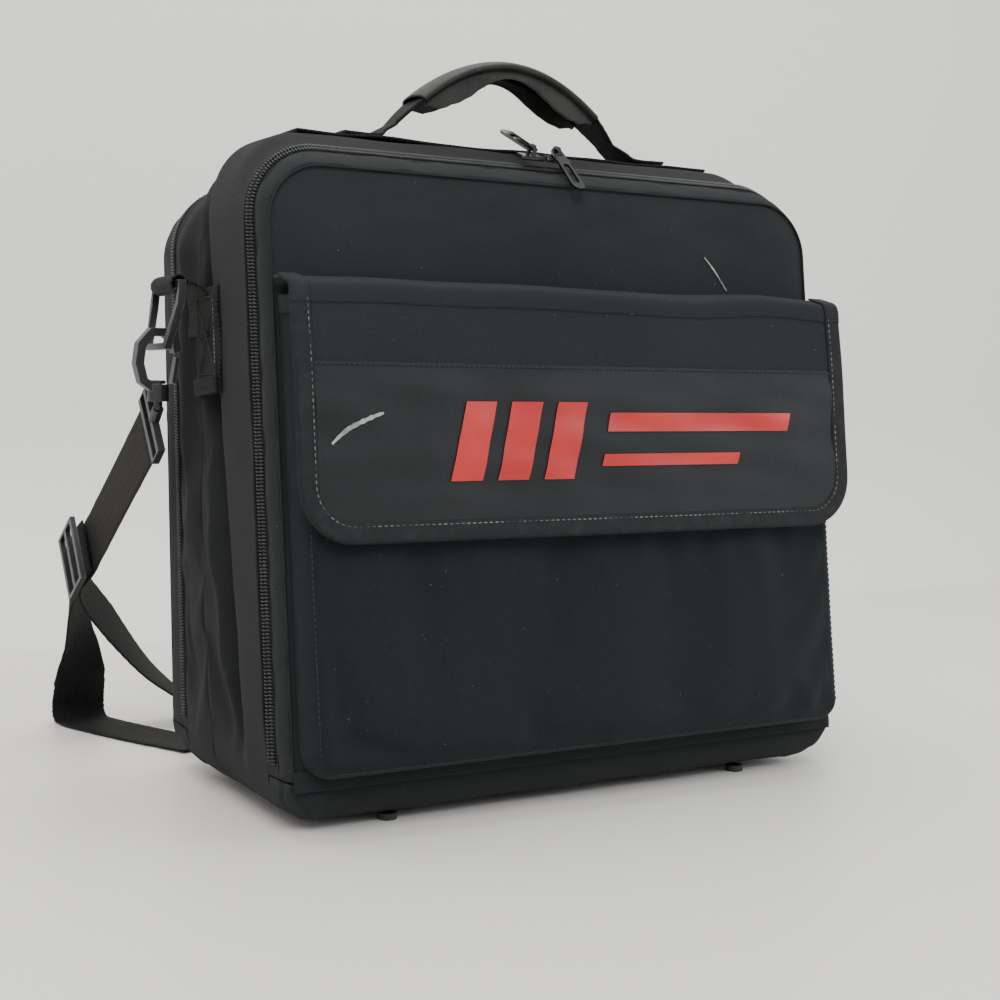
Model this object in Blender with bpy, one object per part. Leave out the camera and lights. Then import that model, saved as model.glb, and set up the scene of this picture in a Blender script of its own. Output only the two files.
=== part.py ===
"""Soft-sided carrying case for a hand-held automotive tester.

Metres, +Z up. The front looks along -Y. Everything is drawn with the ground at z 0, soft pieces
upright; shape_soft_pieces() then crowns the top and leans those back a little, as the filled case
stands, and lower_to_origin() puts the origin on the bottom panel, so that the feet reach below it.
"""

from math import cos, pi, radians, sin, sqrt

import bmesh
import bpy
from mathutils import Matrix, Vector

# Driving dimensions of the case
WIDTH = 0.384
HEIGHT = 0.380
DEPTH = 0.200
FOOT_HEIGHT = 0.004
FOOT_RADIUS = 0.0055
FOOT_X = 0.124
FOOT_FRONT_Y, FOOT_REAR_Y = -0.0805, 0.045
LEAN_FRONT = 0.115  # metres back for each metre up, at the front plane
LEAN_REAR = 0.050
TOP_RADIUS = 0.042
LOW_RADIUS = 0.026
FRONT_INSET_SIDE = 0.004  # how far the front panel's edge sits inside the zipper line
FRONT_INSET_TOP = 0.014
REAR_DROP = 0.012  # the rear compartment's top is this much lower
HINGE_SEAM_Z = 0.030
CROWN = 0.011  # how far the main compartment's top bulges above its zipper
CROWN_FRONT, CROWN_REAR = -0.044, -0.004  # the flat part of the bulge, from front to rear

# Walls, from the outside in
SKIN = 0.0020
FOAM = 0.0050
LINING = 0.0010
GAP = 0.0003

# Stations from front to rear, before the lean
FRONT_Y = -DEPTH / 2
MAIN_ZIP_Y = FRONT_Y + 0.020
DIVIDER_Y = 0.008
REAR_ZIP_Y = 0.066
REAR_Y = DEPTH / 2
ZIP_HALF = 0.0052  # width of one half of a zipper: coil and visible tape
ZIP_PROUD = 0.0014
GUSSET_FRONT_Y = MAIN_ZIP_Y + ZIP_HALF + 2 * GAP

# Pocket and flap on the front
POCKET_HALF = 0.184
POCKET_DEEP = 0.022
POCKET_LOW = 0.032
POCKET_TOP = 0.292
FLAP_HALF = 0.189
FLAP_LOW = 0.160
FLAP_TOP = 0.302
FLAP_SEAM = 0.257
FLAP_RADIUS = 0.030
FLAP_THICK = 0.0022
BINDING = 0.011

# Webbing, handle and hardware
WEBBING = 0.038
WEB_THICK = 0.0018
HANDLE_Y = -0.024
HANDLE_HALF = 0.080
HANDLE_FOOT_Z = HEIGHT + CROWN  # the case's top under the handle
HANDLE_RISE = 0.042
HANDLE_AXIS_UP = 0.0125  # the fold line, above the case's top
HANDLE_WIDE = WEBBING * 0.72  # the handle's webbing, cupped under the grip
HANDLE_HALF_ARC = 88
HANDLE_FULLNESS = 2.0  # 1 is an ellipse; 2 is a parabola, with straight shoulders and a round top
GRIP_WIDE, GRIP_THICK = WEBBING * 0.86, 0.0100
GATHER_HIGH = 0.014  # the roots reach their full width this far up
BASE_STRIP_HALF = 0.148
HANDLE_ROOT_WIDE = 0.017  # the webbing is gathered where it folds
HANDLE_GRIP_HALF_ARC = 52
GRIP_BORE_PAST = 0.006  # the grip's bore runs this far past each of its ends
PATCH_Y = -0.008
PATCH_LOW = 0.238
PATCH_TOP = 0.300
RING_X = 0.2130
RING_Y = 0.031
RING_TOP = 0.302
RING_LOW = 0.266
RING_HALF = 0.0235
RING_BAR = 0.0042
RING_NARROWS = 0.007  # the ring's bottom is this much narrower at each end
RING_SHOULDER = 0.012  # its straight ends are this long
RING_LEAN = 0.0070  # its bottom hangs this far outside its top bar
RING_LEAN_HIGH = 0.0015
KEEPER_TURN = 0.0048  # radius of the keeper's bend round the ring's top bar
KEEPER_TAIL = 0.030
HOOK_X = 0.2200
HOOK_BASE_Z = 0.234
SWIVEL_BORE = 0.0028
SWIVEL_STEM = 0.0025
HUB_RADIUS, HUB_HIGH = 0.0062, 0.0100
SWIVEL_HEAD = 0.0044
HEAD_LOW, HEAD_HIGH = 0.0103, 0.0124  # the stem's head, above the hub's foot
HEAD_ROOM, ROOM_LOW, ROOM_HIGH = 0.0050, 0.0098, 0.0140
HOOK_WIDE, HOOK_THICK = 0.0080, 0.0052
GATE_FOOT = Vector((-0.0085, 0, 0.0105))  # from the hub's foot, as GATE_TIP is
GATE_TIP = Vector((-0.0112, 0, 0.0255))
GATE_WIDE, GATE_THICK = 0.0060, 0.0024
EYE_SPARE = 0.0030  # room at each end of the webbing in the eye
EYE_RISE = 0.0110
EYE_BAR_WIDE, EYE_BAR_THICK = 0.0044, 0.0040
EYE_ARM = 0.0034
NECK_DROP = 0.0040
STEM_LONG = 0.0148
EYE_CENTRE = Vector((0.2200, 0.0480, 0.2165))
STRAP_DOWN = Vector((0.0, 0.816, -0.578)).normalized()
GLIDE_CENTRE = Vector((-0.2240, 0.1770, 0.1280))
TAIL_STEPS = 12  # rings between two stations of the strap's twisted loose end
STRAP_IN_EYE = 0.0040  # the strap starts this far down inside the eye
TAIL_OUT = 0.0032  # the loose end lies this far outside the strap's run
GLIDE_HALF_LONG = 0.0145
GLIDE_SPARE = 0.0032  # room at each end of the webbing in the tri-glide
GLIDE_OUT = 0.0085  # the tri-glide's middle stands this far outside the strap's
GLIDE_BAR_WIDE, GLIDE_BAR_THICK = 0.0040, 0.0034
GLIDE_FRAME_WIDE, GLIDE_FRAME_THICK = 0.0034, 0.0044
STRAP_REST_Z = 0.0015  # the middle of the webbing where it lies on the floor

SLIDER_LONG = 0.0165
SLIDER_WIDE = 0.0100
SLIDER_HIGH = 0.0026
BRIDGE_HIGH = 0.0058  # centre line of the bridge's top above the slider's body
BRIDGE_REACH = 0.0034
BRIDGE_WIDE, BRIDGE_THICK = 0.0024, 0.0014
SLIDER_APART = 0.0006  # from the middle to each slider's near end
PIVOT_HIGH = 0.0034
SLIDER_TILT = 20  # degrees forward, on the rolled front edge
SLIDER_LIFT = 0.0016  # room that the tilt needs over the band
PULL_LONG = 0.038
PULL_HALF_WIDE = 0.0046
PULL_THICK = 0.0016
PULL_HOLE_HALF = 0.0022  # half the width of the pull's eye and of its slot
EYE_NEAR, EYE_FAR = 0.0010, 0.0052  # the eye hole, from the pivot outwards
MAIN_PULL_PITCH = (5, -157)  # degrees above the slider's top; past -90 it points to the front
REAR_PULL_PITCH = (-5, -5)

LEFT, RIGHT = -1, 1
SIDES = (("left", LEFT), ("right", RIGHT))

COLOURS = {
    "canvas": ((0.020, 0.023, 0.025), 0.90, 0.0),
    "band_cloth": ((0.040, 0.043, 0.045), 0.85, 0.0),
    "satin_nylon": ((0.014, 0.015, 0.017), 0.45, 0.0),
    "binding_tape": ((0.022, 0.024, 0.026), 0.75, 0.0),
    "webbing": ((0.020, 0.019, 0.018), 0.80, 0.0),
    "foam": ((0.160, 0.165, 0.170), 0.95, 0.0),
    "lining": ((0.060, 0.062, 0.066), 0.60, 0.0),
    "board": ((0.120, 0.120, 0.120), 0.70, 0.0),
    "zipper_coil": ((0.016, 0.016, 0.017), 0.40, 0.0),
    "slider_metal": ((0.030, 0.030, 0.032), 0.25, 0.9),
    "plastic": ((0.035, 0.036, 0.038), 0.45, 0.0),
    "grip_vinyl": ((0.045, 0.045, 0.042), 0.55, 0.0),
    "hook_tape": ((0.012, 0.012, 0.013), 0.98, 0.0),
    "foot_rubber": ((0.015, 0.015, 0.015), 0.60, 0.0),
}

soft_pieces = []


def clear_scene():
    for obj in list(bpy.data.objects):
        bpy.data.objects.remove(obj, do_unlink=True)


def material(name):
    found = bpy.data.materials.get(name)
    if found:
        return found
    colour, roughness, metallic = COLOURS[name]
    made = bpy.data.materials.new(name)
    made.use_nodes = True
    shader = made.node_tree.nodes["Principled BSDF"]
    shader.inputs["Base Color"].default_value = (*colour, 1.0)
    shader.inputs["Roughness"].default_value = roughness
    shader.inputs["Metallic"].default_value = metallic
    made.diffuse_color = (*colour, 1.0)
    return made


def finish(bm, name, slot, soft=False):
    """Turns a bmesh into a named object with its material."""
    bmesh.ops.recalc_face_normals(bm, faces=bm.faces)
    mesh = bpy.data.meshes.new(name)
    bm.to_mesh(mesh)
    bm.free()
    mesh.shade_smooth()
    mesh.set_sharp_from_angle(angle=radians(35))
    mesh.materials.append(material(slot))
    obj = bpy.data.objects.new(name, mesh)
    bpy.context.scene.collection.objects.link(obj)
    if soft:
        soft_pieces.append(obj)
    return obj


def boolean(target, cutter, operation="DIFFERENCE"):
    """Applies a cut or a join and removes the helper."""
    modifier = target.modifiers.new("shape", "BOOLEAN")
    modifier.operation = operation
    modifier.solver = "EXACT"
    modifier.object = cutter
    graph = bpy.context.evaluated_depsgraph_get()
    made = bpy.data.meshes.new_from_object(target.evaluated_get(graph))
    target.modifiers.clear()
    target.data = made
    bpy.data.objects.remove(cutter, do_unlink=True)
    return target


# ---- Outlines in the XZ plane -------------------------------------------------------


def arc(cx, cz, radius, start, end, steps):
    """Points of an arc, in degrees, both ends included."""
    angles = [radians(start + (end - start) * i / steps) for i in range(steps + 1)]
    return [(cx + radius * cos(a), cz + radius * sin(a)) for a in angles]


def outline(half, low, high, top_radius=TOP_RADIUS, low_radius=LOW_RADIUS, steps=7):
    """A closed rounded rectangle, anticlockwise seen from the front."""
    points = arc(-half + low_radius, low + low_radius, low_radius, 180, 270, steps)
    points += arc(half - low_radius, low + low_radius, low_radius, 270, 360, steps)
    points += arc(half - top_radius, high - top_radius, top_radius, 0, 90, steps)
    points += arc(-half + top_radius, high - top_radius, top_radius, 90, 180, steps)
    return points


def arch(half, low, high, top_radius=TOP_RADIUS, steps=7):
    """An open outline: up the right side, over the top and down the left."""
    points = [(half, low)]
    points += arc(half - top_radius, high - top_radius, top_radius, 0, 90, steps)
    points += arc(-half + top_radius, high - top_radius, top_radius, 90, 180, steps)
    return points + [(-half, low)]


def case_outline(inset, drop=0.0):
    """The case's own outline, moved inwards by inset; drop lowers its top."""
    return outline(
        WIDTH / 2 - inset,
        FOOT_HEIGHT + inset,
        HEIGHT - drop - inset,
        max(TOP_RADIUS - inset, 0.004),
        max(LOW_RADIUS - inset, 0.004),
    )


def case_arch(low, inset_side, inset_top, drop=0.0):
    radius = TOP_RADIUS - (inset_side + inset_top) / 2
    return arch(WIDTH / 2 - inset_side, low, HEIGHT - drop - inset_top, radius)


# ---- Solids ------------------------------------------------------------------------


def shell(name, stations, closed, slot):
    """A wall that follows outlines: each station is (y, outer points, inner points)."""
    bm = bmesh.new()
    rows = []
    for y, outer, inner in stations:
        rows.append([[bm.verts.new((x, y, z)) for x, z in line] for line in (outer, inner)])
    count = len(rows[0][0])
    steps = [(k, (k + 1) % count) for k in range(count if closed else count - 1)]
    for (outer_a, inner_a), (outer_b, inner_b) in zip(rows, rows[1:]):
        for k, n in steps:
            bm.faces.new((outer_a[k], outer_a[n], outer_b[n], outer_b[k]))
            bm.faces.new((inner_a[k], inner_b[k], inner_b[n], inner_a[n]))
        if not closed:
            for k in (0, count - 1):
                bm.faces.new((outer_a[k], outer_b[k], inner_b[k], inner_a[k]))
    for outer, inner in (rows[0], rows[-1]):
        for k, n in steps:
            bm.faces.new((outer[k], inner[k], inner[n], outer[n]))
    return finish(bm, name, slot, soft=True)


def straight_ring(name, stations, inset, thick, slot, drop=0.0):
    """A wall of one outline, through the given y stations."""
    outer, inner = case_outline(inset, drop), case_outline(inset + thick, drop)
    return shell(name, [(y, outer, inner) for y in stations], True, slot)


def plate(name, points, y_front, y_rear, slot, soft=True):
    """A flat slab between two y stations."""
    bm = bmesh.new()
    front = [bm.verts.new((x, y_front, z)) for x, z in points]
    rear = [bm.verts.new((x, y_rear, z)) for x, z in points]
    bm.faces.new(front)
    bm.faces.new(rear[::-1])
    count = len(points)
    for k in range(count):
        n = (k + 1) % count
        bm.faces.new((front[k], rear[k], rear[n], front[n]))
    return finish(bm, name, slot, soft)


def box(name, low, high, slot, soft=False, bevel=0.0):
    bm = bmesh.new()
    bmesh.ops.create_cube(bm, size=1.0)
    for vert in bm.verts:
        for axis in range(3):
            share = vert.co[axis] + 0.5
            vert.co[axis] = low[axis] + (high[axis] - low[axis]) * share
    if bevel:
        bmesh.ops.bevel(
            bm, geom=bm.edges[:], offset=bevel, segments=1, affect="EDGES", clamp_overlap=True
        )
    return finish(bm, name, slot, soft)


def round_section(radius, count):
    angles = [2 * pi * k / count for k in range(count)]
    return [(radius * cos(a), radius * sin(a)) for a in angles]


def flat_section(width, thick):
    w, t = width / 2, thick / 2
    return [(-w, -t), (w, -t), (w, t), (-w, t)]


def sweep(name, path, section, sides, slot, closed=False, soft=False):
    """Carries a section along a path. sides gives the section's first axis, one for all or one each."""
    path = [Vector(p) for p in path]
    count = len(path)
    if isinstance(sides, Vector):
        sides = [sides] * count
    bm = bmesh.new()
    rows = []
    for i, point in enumerate(path):
        before = path[i - 1] if closed or i else path[0]
        after = path[(i + 1) % count] if closed or i < count - 1 else path[-1]
        along = (after - before).normalized()
        side = (sides[i] - along * sides[i].dot(along)).normalized()
        up = along.cross(side)
        rows.append([bm.verts.new(point + side * a + up * b) for a, b in section])
    size = len(section)
    for i in range(count if closed else count - 1):
        here, there = rows[i], rows[(i + 1) % count]
        for k in range(size):
            n = (k + 1) % size
            bm.faces.new((here[k], here[n], there[n], there[k]))
    if not closed:
        bm.faces.new(rows[0])
        bm.faces.new(rows[-1][::-1])
    return finish(bm, name, slot, soft)


def cylinder(name, start, end, radius, slot, count=16):
    start, end = Vector(start), Vector(end)
    side = (end - start).orthogonal().normalized()
    return sweep(name, [start, end], round_section(radius, count), side, slot)


def mirrored(vector, side):
    """A point or direction given for the +X side, on the wanted side."""
    return Vector((vector[0] * side, vector[1], vector[2]))


# ---- The crown and the lean ----------------------------------------------------------


def leaned(y, z):
    """Where a point drawn upright sits on the leaning case."""
    share = min(max((y - FRONT_Y) / DEPTH, 0.0), 1.0)
    return y + z * (LEAN_FRONT + (LEAN_REAR - LEAN_FRONT) * share)


def eased(share):
    """0 to 1 with a flat start and end."""
    share = min(max(share, 0.0), 1.0)
    return share * share * (3 - 2 * share)


def crowned(y, z):
    """The height of a point after the main compartment's top has bulged."""
    rise = eased((y - GUSSET_FRONT_Y) / (CROWN_FRONT - GUSSET_FRONT_Y))
    fall = eased((DIVIDER_Y - y) / (DIVIDER_Y - CROWN_REAR))
    up = min(max((z - HEIGHT + TOP_RADIUS) / TOP_RADIUS, 0.0), 1.0)
    return z + CROWN * min(rise, fall) * up


def shape_soft_pieces():
    for obj in soft_pieces:
        for vert in obj.data.vertices:
            vert.co.z = crowned(vert.co.y, vert.co.z)
            vert.co.y = leaned(vert.co.y, vert.co.z)


def parented(empty_name, location, objects, parent=None):
    """Puts objects, drawn in place, under an empty that sits on their joint's axis."""
    empty = bpy.data.objects.new(empty_name, None)
    empty.empty_display_size = 0.02
    bpy.context.scene.collection.objects.link(empty)
    empty.location = location
    base = Vector(location)
    if parent:
        empty.parent = parent
        empty.location = base - parent.matrix_world.translation
    bpy.context.view_layer.update()
    for obj in objects:
        obj.parent = empty
        obj.location = -base
    return empty


# ---- Case body ---------------------------------------------------------------------


def build_case():
    third = (CROWN_FRONT - GUSSET_FRONT_Y) / 3
    stations = [GUSSET_FRONT_Y + third * k for k in range(4)]
    stations += [CROWN_REAR, (CROWN_REAR + DIVIDER_Y) / 2, DIVIDER_Y]
    straight_ring("main_gusset", stations, 0.0, SKIN, "band_cloth")
    foam_inset = SKIN + GAP
    straight_ring("gusset_foam", stations, foam_inset, FOAM, "foam")
    lining_inset = foam_inset + FOAM + GAP
    straight_ring("gusset_lining", stations, lining_inset, LINING, "lining")
    board_low = FOOT_HEIGHT + lining_inset + LINING + GAP
    box(
        "bottom_board",
        (-0.150, GUSSET_FRONT_Y + 0.002, board_low),
        (0.150, DIVIDER_Y - 0.001, board_low + 0.0025),
        "board",
        soft=True,
    )
    divider_rear = DIVIDER_Y + GAP + 0.006
    plate("divider_panel", case_outline(0.001, REAR_DROP), DIVIDER_Y + GAP, divider_rear, "lining")
    rear_stations = [divider_rear + GAP, REAR_ZIP_Y - ZIP_HALF - 2 * GAP]
    straight_ring("rear_gusset", rear_stations, 0.0, SKIN, "canvas", REAR_DROP)
    straight_ring("rear_lining", rear_stations, foam_inset, LINING, "lining", REAR_DROP)
    sill("front_sill", FRONT_Y, GUSSET_FRONT_Y - GAP, "canvas")
    sill("rear_sill", REAR_Y, rear_stations[-1] + GAP, "canvas")
    build_feet()


def sill(name, y_open, y_case, slot):
    """The rolled bottom edge below a lid's hinge seam: a bent wall that runs along X."""
    low, top, wall = FOOT_HEIGHT, HINGE_SEAM_Z - 0.002, 0.004
    roll = LOW_RADIUS - 0.004
    inward = 1 if y_case > y_open else -1

    def profile(inset):
        """From the hinge seam down, round the roll and back under the case."""
        centre_y, centre_z = y_open + inward * roll, low + roll
        radius = roll - inset
        points = [(y_open + inward * inset, top)]
        for angle in (0, 30, 60, 90):
            turn = radians(angle)
            points.append((centre_y - inward * radius * cos(turn), centre_z - radius * sin(turn)))
        return points + [(y_case, low + inset)]

    half = WIDTH / 2 - LOW_RADIUS / 2
    bm = bmesh.new()
    rows = []
    for x in (-half, half):
        rows.append([[bm.verts.new((x, y, z)) for y, z in profile(inset)] for inset in (0.0, wall)])
    (outer_a, inner_a), (outer_b, inner_b) = rows
    last = len(outer_a) - 1
    for k in range(last):
        bm.faces.new((outer_a[k], outer_a[k + 1], outer_b[k + 1], outer_b[k]))
        bm.faces.new((inner_a[k], inner_b[k], inner_b[k + 1], inner_a[k + 1]))
        bm.faces.new((outer_a[k], inner_a[k], inner_a[k + 1], outer_a[k + 1]))
        bm.faces.new((outer_b[k], outer_b[k + 1], inner_b[k + 1], inner_b[k]))
    for k in (0, last):
        bm.faces.new((outer_a[k], outer_b[k], inner_b[k], inner_a[k]))
    return finish(bm, name, slot, soft=True)


def build_feet():
    for row, y in (("front", FOOT_FRONT_Y), ("rear", FOOT_REAR_Y)):
        for side_name, side in SIDES:
            x = side * FOOT_X
            top = FOOT_HEIGHT - GAP
            name = f"foot_{row}_{side_name}"
            cylinder(name, (x, y, 0.0), (x, y, top), FOOT_RADIUS, "foot_rubber")


# ---- Zippers -----------------------------------------------------------------------


def zipper_half(name, y_a, y_b, low, inset_side, inset_top, drop=0.0):
    """Coil and tape, from one bottom corner over the top to the other."""
    outer = case_arch(low, inset_side - ZIP_PROUD, inset_top - ZIP_PROUD, drop)
    inner = case_arch(low, inset_side + 0.0016, inset_top + 0.0016, drop)
    return shell(name, [(y_a, outer, inner), (y_b, outer, inner)], False, "zipper_coil")


def build_zippers():
    low = HINGE_SEAM_Z + 0.006
    zipper_half("main_zipper_case_half", MAIN_ZIP_Y + GAP, MAIN_ZIP_Y + ZIP_HALF, low, 0, 0)
    lid = zipper_half("main_zipper_lid_half", MAIN_ZIP_Y - ZIP_HALF, MAIN_ZIP_Y - GAP, low, 0, 0)
    zipper_half(
        "rear_zipper_case_half", REAR_ZIP_Y - ZIP_HALF, REAR_ZIP_Y - GAP, low, 0, 0, REAR_DROP
    )
    rear = zipper_half(
        "rear_zipper_lid_half", REAR_ZIP_Y + GAP, REAR_ZIP_Y + ZIP_HALF, low, 0, 0, REAR_DROP
    )
    return lid, rear


# ---- Lids --------------------------------------------------------------------------


def lid_band(name, y_seam, y_zip, inset_side, inset_top, drop, slot):
    """The U-shaped band between a panel and its zipper: it rolls in towards the panel."""
    low = HINGE_SEAM_Z + 0.006
    stations = []
    for share in (0.0, 0.25, 0.6, 1.0):
        roll = 1 - sqrt(max(1 - (1 - share) ** 2, 0.0))
        y = y_seam + (y_zip - y_seam) * share
        outer = case_arch(low, inset_side * roll, inset_top * roll, drop)
        inner = case_arch(low, inset_side * roll + SKIN, inset_top * roll + SKIN, drop)
        stations.append((y, outer, inner))
    return shell(name, stations, False, slot)


def panel_outline(inset_side, inset_top, drop):
    """A lid panel's outline: its bottom edge is the hinge seam."""
    half = WIDTH / 2 - inset_side
    return outline(half, HINGE_SEAM_Z + 0.002, HEIGHT - drop - inset_top, TOP_RADIUS - 0.004, 0.006)


def lid_panel(prefix, y_outside, inward, inset_side, inset_top, drop):
    """Skin, foam and lining of a lid, from the outside in."""
    made = []
    y = y_outside
    extra = 0.0
    for layer, thick, slot in (
        ("panel", SKIN, "canvas"),
        ("panel_foam", FOAM, "foam"),
        ("panel_lining", LINING, "lining"),
    ):
        points = panel_outline(inset_side + extra, inset_top + extra, drop)
        ends = sorted((y, y + inward * thick))
        made.append(plate(f"{prefix}_{layer}", points, ends[0], ends[1], slot))
        y += inward * (thick + GAP)
        extra = 0.012
    return made


def build_front_lid(zipper):
    pieces = lid_panel("front", FRONT_Y, 1, FRONT_INSET_SIDE, FRONT_INSET_TOP, 0.0)
    pieces.append(
        lid_band(
            "front_band",
            FRONT_Y + SKIN + GAP,
            MAIN_ZIP_Y - ZIP_HALF - GAP,
            FRONT_INSET_SIDE,
            FRONT_INSET_TOP,
            0.0,
            "canvas",
        )
    )
    pieces += [zipper, build_pocket()]
    pieces.append(
        box(
            "pocket_loop_strip",
            (-0.145, FRONT_Y - POCKET_DEEP - GAP - 0.0012, FLAP_LOW + 0.014),
            (0.145, FRONT_Y - POCKET_DEEP - GAP, FLAP_LOW + 0.039),
            "hook_tape",
            soft=True,
        )
    )
    pieces.append(build_flap_strip())
    return pieces


def build_pocket():
    """The pouch: a front wall, two sides and a bottom, open at the top and against the panel."""
    back = FRONT_Y - GAP
    front = FRONT_Y - POCKET_DEEP
    body = plate(
        "pocket_pouch",
        outline(POCKET_HALF, POCKET_LOW, POCKET_TOP, 0.002, 0.014, steps=4),
        front,
        back,
        "canvas",
    )
    wall = SKIN
    cutter = plate(
        "pocket_room",
        outline(POCKET_HALF - wall, POCKET_LOW + wall, POCKET_TOP + 0.030, 0.002, 0.012, steps=4),
        front + wall,
        back + 0.010,
        "canvas",
        soft=False,
    )
    return boolean(body, cutter)


FOLD_Y = FRONT_Y - POCKET_DEEP - 0.0045
FOLD_Z = FLAP_TOP - 0.008


def build_flap_strip():
    """The strip that carries the flap from its seam on the panel out over the pocket's mouth."""
    path = [
        (0, FRONT_Y - GAP - 0.0012, FLAP_TOP),
        (0, FRONT_Y - POCKET_DEEP * 0.6, FLAP_TOP - 0.001),
        (0, FOLD_Y + 0.003, FOLD_Z + 0.0035),
    ]
    return sweep(
        "flap_hinge_strip",
        path,
        flat_section(2 * FLAP_HALF, FLAP_THICK),
        Vector((1, 0, 0)),
        "canvas",
        soft=True,
    )


def flap_outline(half, low, high, radius):
    return outline(half, low, high, 0.002, radius, steps=6)


def build_flap():
    """Twill flap, satin print panel over its lower part, tape round its edge, closing strip behind."""
    outer, inner = FOLD_Y - FLAP_THICK, FOLD_Y
    top = FOLD_Z
    shell_points = flap_outline(FLAP_HALF - 0.0015, FLAP_LOW + 0.0015, top, FLAP_RADIUS)
    shell_piece = plate("flap_shell", shell_points, outer, inner, "canvas")
    face = outer - GAP
    panel_radius = FLAP_RADIUS + 0.0015 - BINDING
    panel_points = flap_outline(FLAP_HALF - BINDING, FLAP_LOW + BINDING, FLAP_SEAM, panel_radius)
    panel = plate("flap_print_panel", panel_points, face - 0.0006, face, "satin_nylon")
    half = FLAP_HALF
    radius = FLAP_RADIUS + 0.0015
    edge = [(-half, top)] + arc(-half + radius, FLAP_LOW + radius, radius, 180, 270, 6)
    edge += arc(half - radius, FLAP_LOW + radius, radius, 270, 360, 6) + [(half, top)]
    near = half - BINDING + GAP
    near_radius = radius - BINDING + GAP
    low = FLAP_LOW + BINDING - GAP
    inside = [(-near, top)] + arc(-near + near_radius, low + near_radius, near_radius, 180, 270, 6)
    inside += arc(near - near_radius, low + near_radius, near_radius, 270, 360, 6) + [(near, top)]
    binding = shell(
        "flap_binding", [(face - 0.0012, edge, inside), (face, edge, inside)], False, "binding_tape"
    )
    strip = box(
        "flap_hook_strip",
        (-0.145, inner + GAP, FLAP_LOW + 0.014),
        (0.145, inner + GAP + 0.0012, FLAP_LOW + 0.039),
        "hook_tape",
        soft=True,
    )
    return [shell_piece, panel, binding, strip]


def build_rear_lid(zipper):
    pieces = lid_panel("rear", REAR_Y, -1, FRONT_INSET_SIDE, 0.008, REAR_DROP)
    pieces.append(
        lid_band(
            "rear_band",
            REAR_Y - SKIN - GAP,
            REAR_ZIP_Y + ZIP_HALF + GAP,
            FRONT_INSET_SIDE,
            0.008,
            REAR_DROP,
            "canvas",
        )
    )
    pieces.append(zipper)
    return pieces


# ---- Zipper sliders and pulls --------------------------------------------------------


def slider_frame(x, y, drop, tilt):
    """A slider's own frame: its underside's centre over the coil, turned forward by tilt."""
    z = HEIGHT - drop + ZIP_PROUD + GAP + (SLIDER_LIFT if tilt else 0.0)
    return Matrix.Translation((x, leaned(y, z), z)) @ Matrix.Rotation(radians(tilt), 4, "X")


def build_slider(name, frame):
    """A slider body with a bridge across it that holds the pull's eye."""
    half_long, half_wide = SLIDER_LONG / 2, SLIDER_WIDE / 2
    low, high = (-half_long, -half_wide, 0.0), (half_long, half_wide, SLIDER_HIGH)
    body = box(name, low, high, "slider_metal", bevel=0.0008)
    shares = ((1.0, -0.15), (0.92, 0.70), (0.55, 1.0))
    path = [(0, -BRIDGE_REACH * a, SLIDER_HIGH + BRIDGE_HIGH * b) for a, b in shares]
    path += [(0, -y, z) for _, y, z in path[::-1]]
    bridge = sweep("bridge", path, flat_section(BRIDGE_WIDE, BRIDGE_THICK), Vector((1, 0, 0)), "slider_metal")
    body = boolean(body, bridge, "UNION")
    body.data.transform(frame)
    return body


def stadium(low, high, half_wide, steps=6):
    """A slot-shaped outline as (along, across) pairs, from low to high along."""
    points = arc(high - half_wide, 0, half_wide, -90, 90, steps)
    return points + arc(low + half_wide, 0, half_wide, 90, 270, steps)


def pull_slab(name, points, thick):
    """A flat piece in the pull's own frame: along +Y, across X, thickness Z."""
    bm = bmesh.new()
    rows = []
    for z in (-thick / 2, thick / 2):
        rows.append([bm.verts.new((across, along, z)) for along, across in points])
    low, high = rows
    bm.faces.new(low)
    bm.faces.new(high[::-1])
    for k in range(len(low)):
        n = (k + 1) % len(low)
        bm.faces.new((low[k], high[k], high[n], low[n]))
    return finish(bm, name, "slider_metal")


def build_pull(name, frame, pitch, slot_share):
    """A tab with an eye round the bridge and a long slot, pitched in degrees above the slider's top."""
    wide = PULL_HALF_WIDE
    points = arc(PULL_LONG - wide, 0, wide, -90, 90, 6)
    points += [(EYE_FAR, 0.0040), (-EYE_NEAR, 0.0036), (-EYE_NEAR, -0.0036), (EYE_FAR, -0.0040)]
    tab = pull_slab(name, points, PULL_THICK)
    half = PULL_HOLE_HALF
    eye = [(EYE_NEAR, -half), (EYE_FAR, -half), (EYE_FAR, half), (EYE_NEAR, half)]
    tab = boolean(tab, pull_slab("eye_hole", eye, 0.01))
    half_slot = PULL_LONG * slot_share / 2
    middle = PULL_LONG * 0.60
    slot = stadium(middle - half_slot, middle + half_slot, half)
    tab = boolean(tab, pull_slab("slot_hole", slot, 0.01))
    tab.data.transform(pull_frame(frame) @ Matrix.Rotation(radians(pitch), 4, "X"))
    return tab


def pull_frame(frame):
    return frame @ Matrix.Translation((0, 0, SLIDER_HIGH + PIVOT_HIGH))


def build_sliders(group, y, drop, tilt, pitches):
    """Two sliders that meet at the middle, each with its pull."""
    for (side_name, side), pitch, share in zip(SIDES, pitches, (0.30, 0.50)):
        frame = slider_frame(side * (SLIDER_LONG / 2 + SLIDER_APART), y, drop, tilt)
        name = f"{group}_slider_{side_name}"
        slide = parented(f"{name}_slide", frame.translation, [build_slider(name, frame)])
        pull = build_pull(f"{group}_pull_{side_name}", frame, pitch, share)
        parented(f"{group}_pull_{side_name}_hinge", pull_frame(frame).translation, [pull], slide)


# ---- Handle --------------------------------------------------------------------------


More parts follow.
